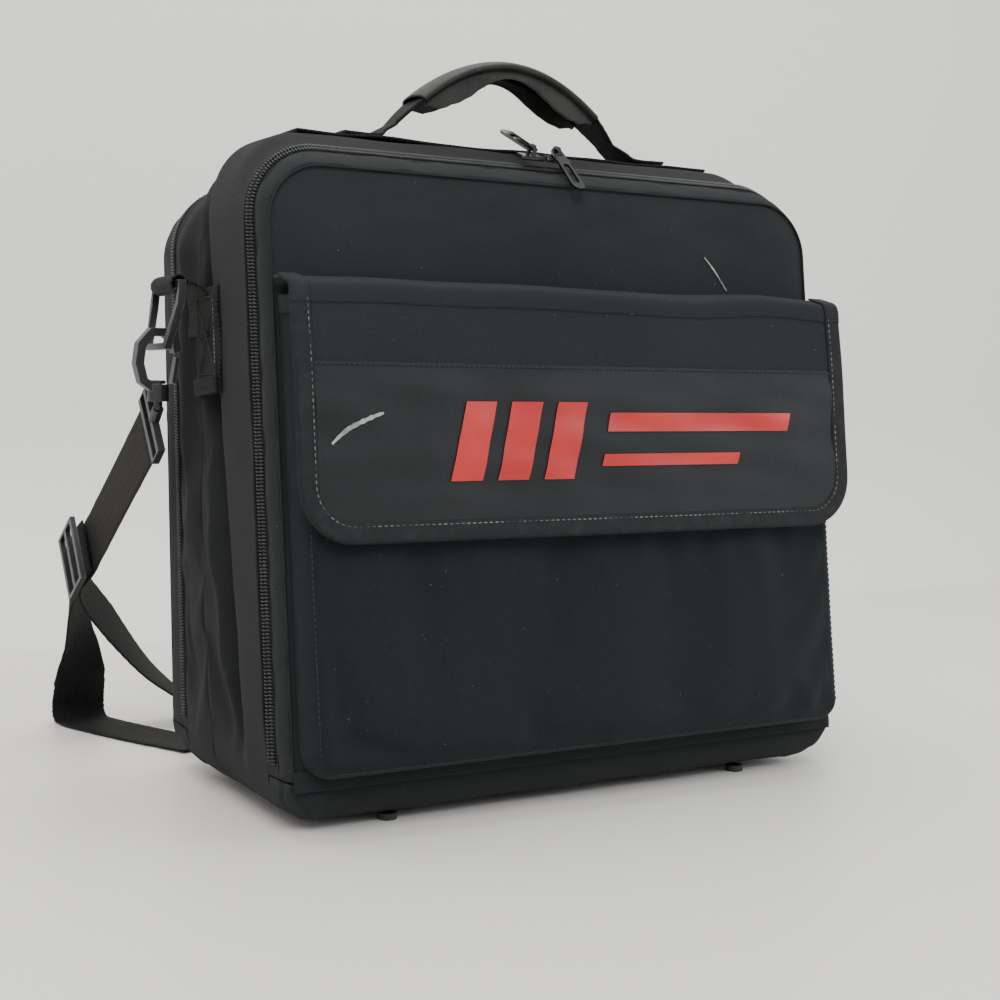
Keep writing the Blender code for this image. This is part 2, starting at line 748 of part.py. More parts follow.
def handle_path(half_arc, y, steps=14):
    """Points of the handle's arch, out to half_arc degrees on each side of its top."""
    points = []
    for i in range(steps + 1):
        a = radians(half_arc * (2 * i / steps - 1))
        up = HANDLE_RISE * max(cos(a), 0.0) ** HANDLE_FULLNESS
        points.append(Vector((HANDLE_HALF * sin(a), y, HANDLE_FOOT_Z + HANDLE_AXIS_UP + up)))
    return points


def build_handle():
    y = leaned(HANDLE_Y, HANDLE_FOOT_Z)
    side = Vector((0, 1, 0))
    path = handle_path(HANDLE_HALF_ARC, y)
    webbing = sweep("handle_webbing", path, flat_section(HANDLE_WIDE, WEB_THICK), side, "webbing")
    gather_roots(webbing, y)
    grip_path = handle_path(HANDLE_GRIP_HALF_ARC, y)
    grip = sweep("handle_grip", grip_path, grip_section(), side, "grip_vinyl")
    bore_path = [past_end(grip_path[0], grip_path[1]), *grip_path, past_end(grip_path[-1], grip_path[-2])]
    bore_section = flat_section(HANDLE_WIDE + 0.0015, WEB_THICK + 2 * GAP + 0.0010)
    grip = boolean(grip, sweep("grip_bore", bore_path, bore_section, side, "grip_vinyl"))
    box(
        "handle_base_webbing",
        (-BASE_STRIP_HALF, HANDLE_Y - WEBBING / 2, HEIGHT + GAP),
        (BASE_STRIP_HALF, HANDLE_Y + WEBBING / 2, HEIGHT + GAP + WEB_THICK),
        "webbing",
        soft=True,
    )
    parented("handle_fold_axis", (0, y, HANDLE_FOOT_Z + HANDLE_AXIS_UP), [webbing, grip])


def gather_roots(webbing, y):
    """Narrows the webbing near its two ends, towards its middle line."""
    low = HANDLE_FOOT_Z + HANDLE_AXIS_UP
    root = HANDLE_ROOT_WIDE / HANDLE_WIDE
    for vert in webbing.data.vertices:
        share = min(max((vert.co.z - low) / GATHER_HIGH, 0.0), 1.0)
        vert.co.y = y + (vert.co.y - y) * (root + (1 - root) * share)


def past_end(end, inner):
    """A point a little past the end of a path."""
    return end + (end - inner).normalized() * GRIP_BORE_PAST


def grip_section(count=10):
    """A flattened oval."""
    angles = [2 * pi * k / count for k in range(count)]
    return [(GRIP_WIDE / 2 * cos(a), GRIP_THICK / 2 * sin(a)) for a in angles]


# ---- Side hardware -------------------------------------------------------------------


def build_patch(side_name, side):
    """Webbing sewn to the gusset; its top turns outwards to carry the ring."""
    inner = side * (WIDTH / 2 + GAP)
    outer = side * (WIDTH / 2 + GAP + WEB_THICK)
    low_x, high_x = sorted((inner, outer))
    box(
        f"side_patch_{side_name}",
        (low_x, PATCH_Y - WEBBING / 2, PATCH_LOW),
        (high_x, PATCH_Y + WEBBING / 2, PATCH_TOP),
        "webbing",
        soft=True,
    )


def build_keeper(side_name, side):
    """The loop of webbing round the ring's top bar, sewn over the patch."""
    root_x = WIDTH / 2 + GAP + WEB_THICK + GAP + WEB_THICK / 2
    path = [(root_x, RING_Y, RING_TOP - KEEPER_TAIL), (root_x + 0.0006, RING_Y, RING_TOP - 0.006)]
    for angle in (150, 100, 50, 0, -50, -95):
        a = radians(angle)
        path.append((RING_X + KEEPER_TURN * cos(a), RING_Y, RING_TOP + KEEPER_TURN * sin(a)))
    path = [mirrored(p, side) for p in path]
    sweep(
        f"ring_keeper_{side_name}",
        path,
        flat_section(WEBBING, WEB_THICK),
        Vector((0, 1, 0)),
        "webbing",
    )


def build_ring(side_name, side):
    """A flat plastic ring: a straight top bar and a narrower bottom."""
    half, low_half = RING_HALF, RING_HALF - RING_NARROWS
    corners = [
        (RING_X, RING_Y - half, RING_TOP),
        (RING_X, RING_Y + half, RING_TOP),
        (RING_X + RING_LEAN_HIGH, RING_Y + half, RING_TOP - RING_SHOULDER),
        (RING_X + RING_LEAN, RING_Y + low_half, RING_LOW),
        (RING_X + RING_LEAN, RING_Y - low_half, RING_LOW),
        (RING_X + RING_LEAN_HIGH, RING_Y - half, RING_TOP - RING_SHOULDER),
    ]
    path = [mirrored(p, side) for p in corners]
    section = flat_section(RING_BAR, RING_BAR)
    ring = sweep(f"ring_{side_name}", path, section, Vector((1, 0, 0)), "plastic", closed=True)
    parented(f"ring_{side_name}_axis", mirrored((RING_X, RING_Y, RING_TOP), side), [ring])


def hook_centre():
    return Vector((HOOK_X, RING_Y, HOOK_BASE_Z))


def build_hook(side_name, side):
    """The snap hook's body: hub, spine and nose. Its spine is on the outside."""
    base = hook_centre()
    nose = [(0.0035, 0.0080), (0.0095, 0.0120), (0.0120, 0.0220), (0.0105, 0.0330)]
    nose += [(0.0040, 0.0405), (-0.0040, 0.0405), (-0.0100, 0.0350), (-0.0110, 0.0290)]
    path = [mirrored(base + Vector((u, 0, v)), side) for u, v in nose]
    hook = sweep("hook_body", path, flat_section(HOOK_WIDE, HOOK_THICK), Vector((0, 1, 0)), "plastic")
    hook.name = f"snap_hook_{side_name}"
    hub = cylinder(
        "hub",
        mirrored(base, side),
        mirrored(base + Vector((0, 0, HUB_HIGH)), side),
        HUB_RADIUS,
        "plastic",
    )
    hook = boolean(hook, hub, "UNION")
    bore = cylinder(
        "bore",
        mirrored(base - Vector((0, 0, 0.01)), side),
        mirrored(base + Vector((0, 0, 0.0175)), side),
        SWIVEL_BORE,
        "plastic",
    )
    hook = boolean(hook, bore)
    room = cylinder(
        "head_room",
        mirrored(base + Vector((0, 0, ROOM_LOW)), side),
        mirrored(base + Vector((0, 0, ROOM_HIGH)), side),
        HEAD_ROOM,
        "plastic",
    )
    hook = boolean(hook, room)
    swivel = parented(f"hook_{side_name}_swivel_axis", mirrored(base, side), [hook])
    foot = base + GATE_FOOT
    tip = base + GATE_TIP
    gate = sweep(
        f"hook_gate_{side_name}",
        [mirrored(foot, side), mirrored(tip, side)],
        flat_section(GATE_WIDE, GATE_THICK),
        Vector((0, 1, 0)),
        "plastic",
    )
    parented(f"hook_gate_{side_name}_axis", mirrored(foot, side), [gate], swivel)


def build_eye(side_name, side):
    """The swivelling loop that the strap passes through, with its stem and head."""
    base = hook_centre()
    down = mirrored(STRAP_DOWN, side)
    across = Vector((0, -STRAP_DOWN.z, STRAP_DOWN.y)) * -1
    centre = mirrored(EYE_CENTRE, side)
    half, rise = WEBBING / 2 + EYE_SPARE, EYE_RISE
    corners = [
        centre + across * half,
        centre - across * half,
        centre - across * half - down * rise,
        centre + across * half - down * rise,
    ]
    eye = sweep(
        f"strap_eye_{side_name}",
        corners,
        flat_section(EYE_BAR_WIDE, EYE_BAR_THICK),
        Vector((1, 0, 0)),
        "plastic",
        closed=True,
    )
    top_bar = centre - down * rise
    neck = Vector((mirrored(base, side).x, base.y, base.z - NECK_DROP))
    arm = sweep("arm", [top_bar, neck], round_section(EYE_ARM, 10), Vector((1, 0, 0)), "plastic")
    eye = boolean(eye, arm, "UNION")
    stem = cylinder(
        "stem", neck - Vector((0, 0, 0.001)), neck + Vector((0, 0, STEM_LONG)), SWIVEL_STEM, "plastic"
    )
    eye = boolean(eye, stem, "UNION")
    head = cylinder(
        "head",
        mirrored(base + Vector((0, 0, HEAD_LOW)), side),
        mirrored(base + Vector((0, 0, HEAD_HIGH)), side),
        SWIVEL_HEAD,
        "plastic",
    )
    return boolean(eye, head, "UNION")


# ---- Shoulder strap ------------------------------------------------------------------


def ribbon(name, stations, steps=4, slot="webbing", thick=WEB_THICK):
    """Webbing through (point, width direction) stations, with steps between each two.

    Where it twists, more steps keep each of its faces flatter than the webbing is thick.
    """
    points = [Vector(p) for p, _ in stations]
    sides = [Vector(s).normalized() for _, s in stations]
    path, turns = [], []
    for i in range(len(points) - 1):
        p0, p1, p2 = points[max(i - 1, 0)], points[i], points[i + 1]
        p3 = points[min(i + 2, len(points) - 1)]
        for k in range(steps):
            t = k / steps
            point = catmull(p0, p1, p2, p3, t)
            point.z = max(point.z, STRAP_REST_Z)
            path.append(point)
            turns.append(sides[i].lerp(sides[i + 1], t).normalized())
    path.append(points[-1])
    turns.append(sides[-1])
    return sweep(name, path, flat_section(WEBBING, thick), turns, slot)


def catmull(p0, p1, p2, p3, t):
    """Catmull-Rom interpolation from p1 to p2."""
    a = p1 * 2
    b = (p2 - p0) * t
    c = (p0 * 2 - p1 * 5 + p2 * 4 - p3) * (t * t)
    d = (p1 * 3 - p0 - p2 * 3 + p3) * (t * t * t)
    return (a + b + c + d) * 0.5


def build_strap():
    """From the left eye, through the tri-glide, along the floor behind the case to the right eye."""
    across = Vector((0, STRAP_DOWN.z, -STRAP_DOWN.y))
    left = mirrored(EYE_CENTRE, LEFT) + STRAP_DOWN * STRAP_IN_EYE
    right = mirrored(EYE_CENTRE, RIGHT) + STRAP_DOWN * STRAP_IN_EYE
    glide = GLIDE_CENTRE
    along = (glide - left).normalized()
    ribbon(
        "shoulder_strap",
        [
            (left, across),
            (glide - along * 0.020, across),
            (glide + along * 0.022, across),
            ((-0.196, 0.216, 0.078), (-0.35, -0.80, -0.45)),
            ((-0.160, 0.226, 0.036), (-0.30, -0.93, -0.15)),
            ((-0.118, 0.222, 0.0070), (-0.10, -0.99, -0.02)),
            ((-0.070, 0.216, 0.0016), (0, -1, 0)),
            ((0.070, 0.216, 0.0016), (0, -1, 0)),
            ((0.120, 0.222, 0.0070), (0.10, -0.99, -0.02)),
            ((0.164, 0.226, 0.038), (0.30, -0.90, -0.30)),
            ((0.204, 0.206, 0.088), (0.20, -0.70, -0.65)),
            (right + (glide_mirror() - right) * 0.55, across),
            (right, across),
        ],
    )
    offset = Vector((-TAIL_OUT, 0, 0))
    ribbon(
        "strap_tail",
        [
            (glide - along * 0.018 + offset, across),
            (glide + along * 0.026 + offset, across),
            ((-0.214, 0.236, 0.070), (-0.60, -0.60, -0.52)),
            ((-0.206, 0.258, 0.0340), (-0.95, -0.10, -0.12)),
            ((-0.204, 0.270, 0.0130), (-1.0, 0.0, 0.0)),
            ((-0.204, 0.264, 0.0025), (-1.0, 0.0, 0.0)),
            ((-0.200, 0.244, STRAP_REST_Z), (-1.0, -0.10, 0.0)),
            ((-0.180, 0.190, STRAP_REST_Z), (-0.95, -0.30, 0.0)),
            ((-0.155, 0.135, STRAP_REST_Z), (-0.92, -0.38, 0.0)),
        ],
        steps=TAIL_STEPS,
    )
    build_glide(glide, along, across)


def glide_mirror():
    return Vector((-GLIDE_CENTRE.x, GLIDE_CENTRE.y, GLIDE_CENTRE.z))


def build_glide(centre, along, across):
    """The sliding buckle: a frame with a middle bar, standing round the strap."""
    out = along.cross(across).normalized()
    half_wide, half_long = WEBBING / 2 + GLIDE_SPARE, GLIDE_HALF_LONG
    if out.x > 0:
        out = -out
    middle = centre + out * GLIDE_OUT
    bar_ends = [middle - across * half_wide, middle + across * half_wide]
    bar = sweep("middle_bar", bar_ends, flat_section(GLIDE_BAR_WIDE, GLIDE_BAR_THICK), along, "plastic")
    corners = [
        middle + along * half_long + across * half_wide,
        middle + along * half_long - across * half_wide,
        middle - along * half_long - across * half_wide,
        middle - along * half_long + across * half_wide,
    ]
    section = flat_section(GLIDE_FRAME_WIDE, GLIDE_FRAME_THICK)
    frame = sweep("tri_glide", corners, section, out, "plastic", closed=True)
    frame = boolean(frame, bar, "UNION")
    parented("tri_glide_slide", centre, [frame])


def lower_to_origin():
    """Puts the origin at the centre of the bottom panel's flat face."""
    for obj in bpy.data.objects:
        if obj.parent is None:
            obj.location.z -= FOOT_HEIGHT


# ---- Assembly ------------------------------------------------------------------------


def build():
    clear_scene()
    build_case()
    lid_zipper, rear_zipper = build_zippers()
    lid_pieces = build_front_lid(lid_zipper)
    flap_pieces = build_flap()
    rear_pieces = build_rear_lid(rear_zipper)
    build_handle()
    for side_name, side in SIDES:
        build_patch(side_name, side)
        build_keeper(side_name, side)
        build_ring(side_name, side)
        build_hook(side_name, side)
        build_eye(side_name, side)
    build_sliders("main", MAIN_ZIP_Y, 0.0, SLIDER_TILT, MAIN_PULL_PITCH)
    build_sliders("rear", REAR_ZIP_Y, REAR_DROP, 0, REAR_PULL_PITCH)
    build_strap()
    shape_soft_pieces()
    front_axis = (0, leaned(FRONT_Y, HINGE_SEAM_Z), HINGE_SEAM_Z)
    lid = parented("front_lid_hinge", front_axis, lid_pieces)
    parented("flap_hinge", (0, leaned(FOLD_Y, FOLD_Z), FOLD_Z), flap_pieces, lid)
    parented("rear_lid_hinge", (0, leaned(REAR_Y, HINGE_SEAM_Z), HINGE_SEAM_Z), rear_pieces)
    lower_to_origin()


build()
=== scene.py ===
"""The looks of the soft instrument case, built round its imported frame.

Cloth is drawn upright, with the ground at z 0, and placed() then crowns and leans it as the frame is.
"""

from math import cos, pi, radians, sin

import bpy
import numpy as np
from mathutils import Matrix, Vector


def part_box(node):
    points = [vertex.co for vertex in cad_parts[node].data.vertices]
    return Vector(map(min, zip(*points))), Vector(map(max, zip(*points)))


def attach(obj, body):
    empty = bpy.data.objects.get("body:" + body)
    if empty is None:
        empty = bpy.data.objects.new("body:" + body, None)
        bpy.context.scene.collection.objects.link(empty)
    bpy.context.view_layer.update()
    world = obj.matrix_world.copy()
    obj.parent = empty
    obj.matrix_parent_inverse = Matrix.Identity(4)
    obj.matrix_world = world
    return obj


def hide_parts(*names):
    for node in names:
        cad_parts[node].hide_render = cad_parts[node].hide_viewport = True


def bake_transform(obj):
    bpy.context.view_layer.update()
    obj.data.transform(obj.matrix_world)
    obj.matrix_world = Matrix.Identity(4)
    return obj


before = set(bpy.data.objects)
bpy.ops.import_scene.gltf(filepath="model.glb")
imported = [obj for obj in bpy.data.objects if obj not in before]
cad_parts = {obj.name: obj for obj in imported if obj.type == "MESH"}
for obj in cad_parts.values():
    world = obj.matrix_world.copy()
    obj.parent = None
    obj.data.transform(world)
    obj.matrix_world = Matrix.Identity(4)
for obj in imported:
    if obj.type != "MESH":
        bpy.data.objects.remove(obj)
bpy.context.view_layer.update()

# ---- Sizes, from the frame ------------------------------------------------------------

FOOT_HEIGHT = 0.004
LEAN_FRONT, LEAN_REAR = 0.115, 0.050
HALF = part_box("main_gusset")[1].x
HEIGHT = 0.380
TOP_RADIUS, LOW_RADIUS = 0.042, 0.026
CROWN, CROWN_FRONT, CROWN_REAR = 0.011, -0.044, -0.004
FRONT_Y, REAR_Y = -0.100, 0.100
MAIN_ZIP_Y, REAR_ZIP_Y = -0.080, 0.066
ZIP_HALF = 0.0052
GUSSET_FRONT_Y = MAIN_ZIP_Y + ZIP_HALF + 0.0006
DIVIDER_Y = 0.008
REAR_DROP = 0.012
HINGE_Z = 0.030
INSET_SIDE, INSET_TOP, REAR_INSET_TOP = 0.004, 0.014, 0.008
POCKET_HALF, POCKET_LOW, POCKET_TOP, POCKET_DEEP = 0.184, 0.032, 0.292, 0.022
FLAP_HALF, FLAP_LOW, FLAP_TOP, FLAP_SEAM, FLAP_RADIUS = 0.189, 0.160, 0.302, 0.257, 0.0315
FOLD_Y, FOLD_Z = FRONT_Y - POCKET_DEEP - 0.0045, FLAP_TOP - 0.008
BINDING = 0.011
WEBBING, WEB_THICK = 0.038, 0.0018
HANDLE_Y, HANDLE_HALF, HANDLE_RISE, HANDLE_AXIS_UP = -0.024, 0.080, 0.042, 0.0125
HANDLE_FULLNESS = 2.0
HANDLE_GATHER_HIGH = 0.014
GRIP_HALF_ARC = 52
SIDES = (("left", -1), ("right", 1))


# ---- Placing points -------------------------------------------------------------------


def eased(share):
    share = np.clip(share, 0.0, 1.0)
    return share * share * (3 - 2 * share)


def placed(points):
    """Upright points, ground at z 0, to their place on the crowned, leaning case."""
    p = np.array(points, float)
    x, y, z = p[..., 0], p[..., 1], p[..., 2]
    rise = eased((y - GUSSET_FRONT_Y) / (CROWN_FRONT - GUSSET_FRONT_Y))
    fall = eased((DIVIDER_Y - y) / (DIVIDER_Y - CROWN_REAR))
    up = np.clip((z - HEIGHT + TOP_RADIUS) / TOP_RADIUS, 0.0, 1.0)
    high = z + CROWN * np.minimum(rise, fall) * up
    share = np.clip((y - FRONT_Y) / (REAR_Y - FRONT_Y), 0.0, 1.0)
    back = y + high * (LEAN_FRONT + (LEAN_REAR - LEAN_FRONT) * share)
    return np.stack([x, back, high - FOOT_HEIGHT], axis=-1)


def ripples(a, b, seed, size, count=7):
    """Smooth bumps between about -1 and 1, of a given size in metres."""
    rng = np.random.default_rng(seed)
    total = np.zeros(np.broadcast(a, b).shape)
    for _ in range(count):
        turn, phase, stretch = rng.uniform(0, pi), rng.uniform(0, 2 * pi), rng.uniform(0.6, 1.6)
        k = 2 * pi / (size * stretch)
        total = total + np.sin(k * (a * cos(turn) + b * sin(turn)) + phase)
    return total / (count**0.5 * 1.4)


# ---- Meshes ---------------------------------------------------------------------------


def new_object(name, verts, faces, material, uvs=None, smooth=True):
    mesh = bpy.data.meshes.new(name)
    mesh.from_pydata([tuple(v) for v in verts], [], faces)
    if uvs is not None:
        layer = mesh.uv_layers.new(name="UVMap")
        index = np.empty(len(mesh.loops), np.int32)
        mesh.loops.foreach_get("vertex_index", index)
        layer.data.foreach_set("uv", np.asarray(uvs, np.float32)[index].ravel())
    mesh.polygons.foreach_set("use_smooth", [smooth] * len(mesh.polygons))
    mesh.materials.append(material)
    obj = bpy.data.objects.new(name, mesh)
    bpy.context.scene.collection.objects.link(obj)
    return obj


def sheet(name, points, material, thick=0.0, flip=False):
    """A grid of points as cloth; its UVs are in metres. flip turns its outside round."""
    points = np.asarray(points, float)
    rows, cols = points.shape[:2]
    u = np.zeros((rows, cols))
    v = np.zeros((rows, cols))
    u[:, 1:] = np.cumsum(np.linalg.norm(np.diff(points, axis=1), axis=2), axis=1)
    v[1:] = np.cumsum(np.linalg.norm(np.diff(points, axis=0), axis=2), axis=0)
    u -= u[:, cols // 2][:, None]
    here = np.arange(rows * cols).reshape(rows, cols)
    quads = np.stack([here[:-1, :-1], here[:-1, 1:], here[1:, 1:], here[1:, :-1]], axis=-1)
    quads = quads.reshape(-1, 4)
    if flip:
        quads = quads[:, ::-1]
    uvs = np.stack([u, v], axis=-1).reshape(-1, 2)
    obj = new_object(name, points.reshape(-1, 3), quads.tolist(), material, uvs)
    if thick:
        solid = obj.modifiers.new("thickness", "SOLIDIFY")
        solid.thickness = thick
        solid.offset = -1.0
    return obj


def resampled(points, count):
    """count + 1 points at even steps along a polyline."""
    points = np.asarray(points, float)
    steps = np.linalg.norm(np.diff(points, axis=0), axis=1)
    along = np.concatenate([[0], np.cumsum(steps)])
    wanted = np.linspace(0, along[-1], count + 1)
    return np.stack([np.interp(wanted, along, points[:, k]) for k in range(points.shape[1])], axis=1)


def arc(cx, cz, radius, start, end, steps=24):
    angles = np.radians(np.linspace(start, end, steps))
    return np.stack([cx + radius * np.cos(angles), cz + radius * np.sin(angles)], axis=1)


def ring_line(inset=0.0, drop=0.0, count=420):
    """The case's outline from the bottom's middle, up the left side and round."""
    half, low, high = HALF - inset, FOOT_HEIGHT + inset, HEIGHT - drop - inset
    top, bottom = TOP_RADIUS - inset, LOW_RADIUS - inset
    parts = [
        [(0, low)],
        arc(-half + bottom, low + bottom, bottom, 270, 180),
        arc(-half + top, high - top, top, 180, 90),
        arc(half - top, high - top, top, 90, 0),
        arc(half - bottom, low + bottom, bottom, 0, -90),
        [(0, low)],
    ]
    return resampled(np.concatenate(parts), count)


def arch_line(inset_side=0.0, inset_top=0.0, drop=0.0, low=HINGE_Z + 0.004, count=400):
    """From the left bottom corner over the top to the right one."""
    half, high = HALF - inset_side, HEIGHT - drop - inset_top
    radius = TOP_RADIUS - (inset_side + inset_top) / 2
    parts = [
        [(-half, low)],
        arc(-half + radius, high - radius, radius, 180, 90),
        arc(half - radius, high - radius, radius, 90, 0),
        [(half, low)],
    ]
    return resampled(np.concatenate(parts), count)


def inset_share(y, case_y, open_y):
    """How far a lid's edge has turned in: 0 at the case, 1 at the panel's seam."""
    t = np.clip((y - case_y) / (open_y - case_y), 0, 1)
    return 0.8 * t + 0.2 * (1 - np.sqrt(1 - t * t))


def rim_line(y, rear, low=HINGE_Z + 0.0008, count=420):
    """The sloping rim of a lid, at one y."""
    if rear:
        share = inset_share(y, REAR_ZIP_Y - ZIP_HALF - 0.0006, REAR_Y - 0.0006)
        return arch_line(INSET_SIDE * share, REAR_INSET_TOP * share, REAR_DROP, low, count)
    share = inset_share(y, GUSSET_FRONT_Y, FRONT_Y + 0.0006)
    return arch_line(INSET_SIDE * share, INSET_TOP * share, 0.0, low, count)


def outward(line):
    """Unit normals of a line that runs clockwise seen from the front."""
    along = np.gradient(line, axis=0)
    along /= np.linalg.norm(along, axis=1)[:, None] + 1e-12
    return np.stack([-along[:, 1], along[:, 0]], axis=1)


def wall_points(lines, ys, swell):
    """Upright points of a wall through one outline for each y; swell(x, y, z) moves it outwards."""
    rows = []
    for line, y in zip(lines, ys):
        x, z = line[:, 0], line[:, 1]
        out = outward(line) * swell(x, y, z)[:, None]
        rows.append(np.stack([x + out[:, 0], np.full_like(x, y), z + out[:, 1]], axis=1))
    return np.array(rows)


def loft(name, lines, ys, swell, material, thick=0.0, flip=False):
    return sheet(name, placed(wall_points(lines, ys, swell)), material, thick, flip)


def spread(count, ends=2.0):
    """-1 to 1, closer together near both ends."""
    t = np.linspace(-1, 1, count + 1)
    return np.sign(t) * (1 - (1 - np.abs(t)) ** ends)


def plate_grid(half, low, high, r_low, r_top, columns=150, rows=110, ends=2.0):
    """x, z and the distance to the edge, over a rounded rectangle."""
    z = low + (high - low) * (spread(rows, ends) + 1) / 2
    cut_low = np.clip(r_low - (z - low), 0, r_low)
    cut_top = np.clip(r_top - (high - z), 0, r_top)
    wide = half - (r_low - np.sqrt(np.clip(r_low**2 - cut_low**2, 0, None)))
    wide = np.minimum(wide, half - (r_top - np.sqrt(np.clip(r_top**2 - cut_top**2, 0, None))))
    x = spread(columns, ends)[None, :] * wide[:, None]
    z = np.repeat(z[:, None], columns + 1, axis=1)
    middle = (low + high) / 2
    radius = np.where(z > middle, r_top, r_low)
    qx = np.abs(x) - half + radius
    qz = np.abs(z - middle) - (high - low) / 2 + radius
    outside = np.hypot(np.maximum(qx, 0), np.maximum(qz, 0)) + np.minimum(np.maximum(qx, qz), 0)
    return x, z, np.maximum(radius - outside, 0)


def plate(name, grid, y, material, thick=0.0, flip=False):
    """A sheet over a plate_grid, at the given y values."""
    x, z, _ = grid
    return sheet(name, placed(np.stack([x, y, z], axis=-1)), material, thick, flip)


def ribbon(name, path, sides, width, thick, material, edge_bumps=0.0, columns=12):
    """Webbing along a path, in frame coordinates, with UVs along it and a soft edge."""
    path = np.asarray(path, float)
    sides = np.asarray(sides, float)
    if sides.ndim == 1:
        sides = np.repeat(sides[None], len(path), axis=0)
    width = np.broadcast_to(np.asarray(width, float), (len(path),))
    along = np.gradient(path, axis=0)
    along /= np.linalg.norm(along, axis=1)[:, None] + 1e-12
    side = sides - along * (sides * along).sum(1)[:, None]
    side /= np.linalg.norm(side, axis=1)[:, None] + 1e-12
    up = np.cross(along, side)
    length = np.concatenate([[0], np.cumsum(np.linalg.norm(np.diff(path, axis=0), axis=1))])
    angles = np.linspace(0, 2 * pi, 2 * columns + 1)[:-1]
    across = np.sign(np.cos(angles)) * np.abs(np.cos(angles)) ** 0.35
    lift = np.sign(np.sin(angles)) * np.abs(np.sin(angles)) ** 0.35
    wobble = 1 + edge_bumps * np.sin(length * 2 * pi / 0.0028)
    verts, uvs = [], []
    for i, point in enumerate(path):
        wide = width[i] / 2 * across * np.where(np.abs(across) > 0.95, wobble[i], 1)
        verts.append(point + side[i] * wide[:, None] + up[i] * (thick / 2 * lift)[:, None])
        uvs.append(np.stack([width[i] / 2 * across, np.full(len(angles), length[i])], axis=1))
    count = len(angles)
    faces = []
    for i in range(len(path) - 1):
        for k in range(count):
            n = (k + 1) % count
            faces.append((i * count + k, i * count + n, (i + 1) * count + n, (i + 1) * count + k))
    faces.append(tuple(range(count))[::-1])
    faces.append(tuple(range((len(path) - 1) * count, len(path) * count)))
    return new_object(name, np.concatenate(verts), faces, material, np.concatenate(uvs))


def smoothed(points, per_step=8):
    """Catmull-Rom through points."""
    p = np.asarray(points, float)
    p = np.concatenate([p[:1], p, p[-1:]])
    out = []
    for i in range(1, len(p) - 2):
        for t in np.arange(per_step) / per_step:
            a, b = 2 * p[i], (p[i + 1] - p[i - 1]) * t
            c = (2 * p[i - 1] - 5 * p[i] + 4 * p[i + 1] - p[i + 2]) * t * t
            d = (3 * p[i] - p[i - 1] - 3 * p[i + 1] + p[i + 2]) * t**3
            out.append((a + b + c + d) / 2)
    out.append(p[-2])
    return np.array(out)


def beads(name, centres, along, out, size, material):
    """Small rounded bars: one for each centre, with half sizes (along, across, out)."""
    across = np.cross(along, out)
    across /= np.linalg.norm(across, axis=1)[:, None] + 1e-12
    angles = np.linspace(0, 2 * pi, 7)[:-1]
    stations = ((-1.0, 0.45), (-0.6, 1.0), (0.6, 1.0), (1.0, 0.45))
    shape = []
    for a, wide in stations:
        for t in angles:
            shape.append((a, wide * cos(t), wide * sin(t)))
    shape = np.array(shape) * np.array(size)
    verts = (
        centres[:, None]
        + along[:, None] * shape[None, :, :1]
        + across[:, None] * shape[None, :, 1:2]
        + out[:, None] * shape[None, :, 2:]
    )
    count, ring = len(shape), len(angles)
    one = [tuple(range(ring))[::-1], tuple(range(count - ring, count))]
    for s in range(len(stations) - 1):
        for k in range(ring):
            n = (k + 1) % ring
            one.append((s * ring + k, s * ring + n, (s + 1) * ring + n, (s + 1) * ring + k))
    faces = [tuple(i * count + k for k in face) for i in range(len(centres)) for face in one]
    return new_object(name, verts.reshape(-1, 3), faces, material)


def stitches(name, line, out, pitch, length, radius, material):
    """A row of stitches along a line of frame points; out is the cloth's outward side."""
    steps = np.linalg.norm(np.diff(line, axis=0), axis=1).sum()
    path = resampled(line, max(int(steps / pitch), 2))
    along = np.gradient(path, axis=0)
    along /= np.linalg.norm(along, axis=1)[:, None] + 1e-12
    out = np.repeat(np.asarray(out, float)[None], len(path), axis=0)
    out -= along * (out * along).sum(1)[:, None]
    out /= np.linalg.norm(out, axis=1)[:, None]
    return beads(name, path, along, out, (length / 2, radius, radius), material)


def joined(name, *objects):
    """One piece from several, keeping their materials."""
    with bpy.context.temp_override(active_object=objects[0], selected_editable_objects=objects):
        bpy.ops.object.join()
    objects[0].name = name
    return objects[0]


# ---- Cloth ----------------------------------------------------------------------------


def smooth_steps(coarse, rows, cols):
    """A coarse grid of moves, interpolated to a fine grid."""
    old_r, old_c = np.linspace(0, 1, coarse.shape[0]), np.linspace(0, 1, coarse.shape[1])
    new_r, new_c = np.linspace(0, 1, rows), np.linspace(0, 1, cols)
    wide = np.empty((coarse.shape[0], cols, 3))
    fine = np.empty((rows, cols, 3))
    for k in range(3):
        for i in range(coarse.shape[0]):
            wide[i, :, k] = np.interp(new_c, old_c, coarse[i, :, k])
        for j in range(cols):
            fine[:, j, k] = np.interp(new_r, old_r, wide[:, j, k])
    for _ in range(3):
        middle = (fine[:-2] + fine[2:] + 2 * fine[1:-1]) / 4
        fine[1:-1] = middle
        middle = (fine[:, :-2] + fine[:, 2:] + 2 * fine[:, 1:-1]) / 4
        fine[:, 1:-1] = middle
    return fine


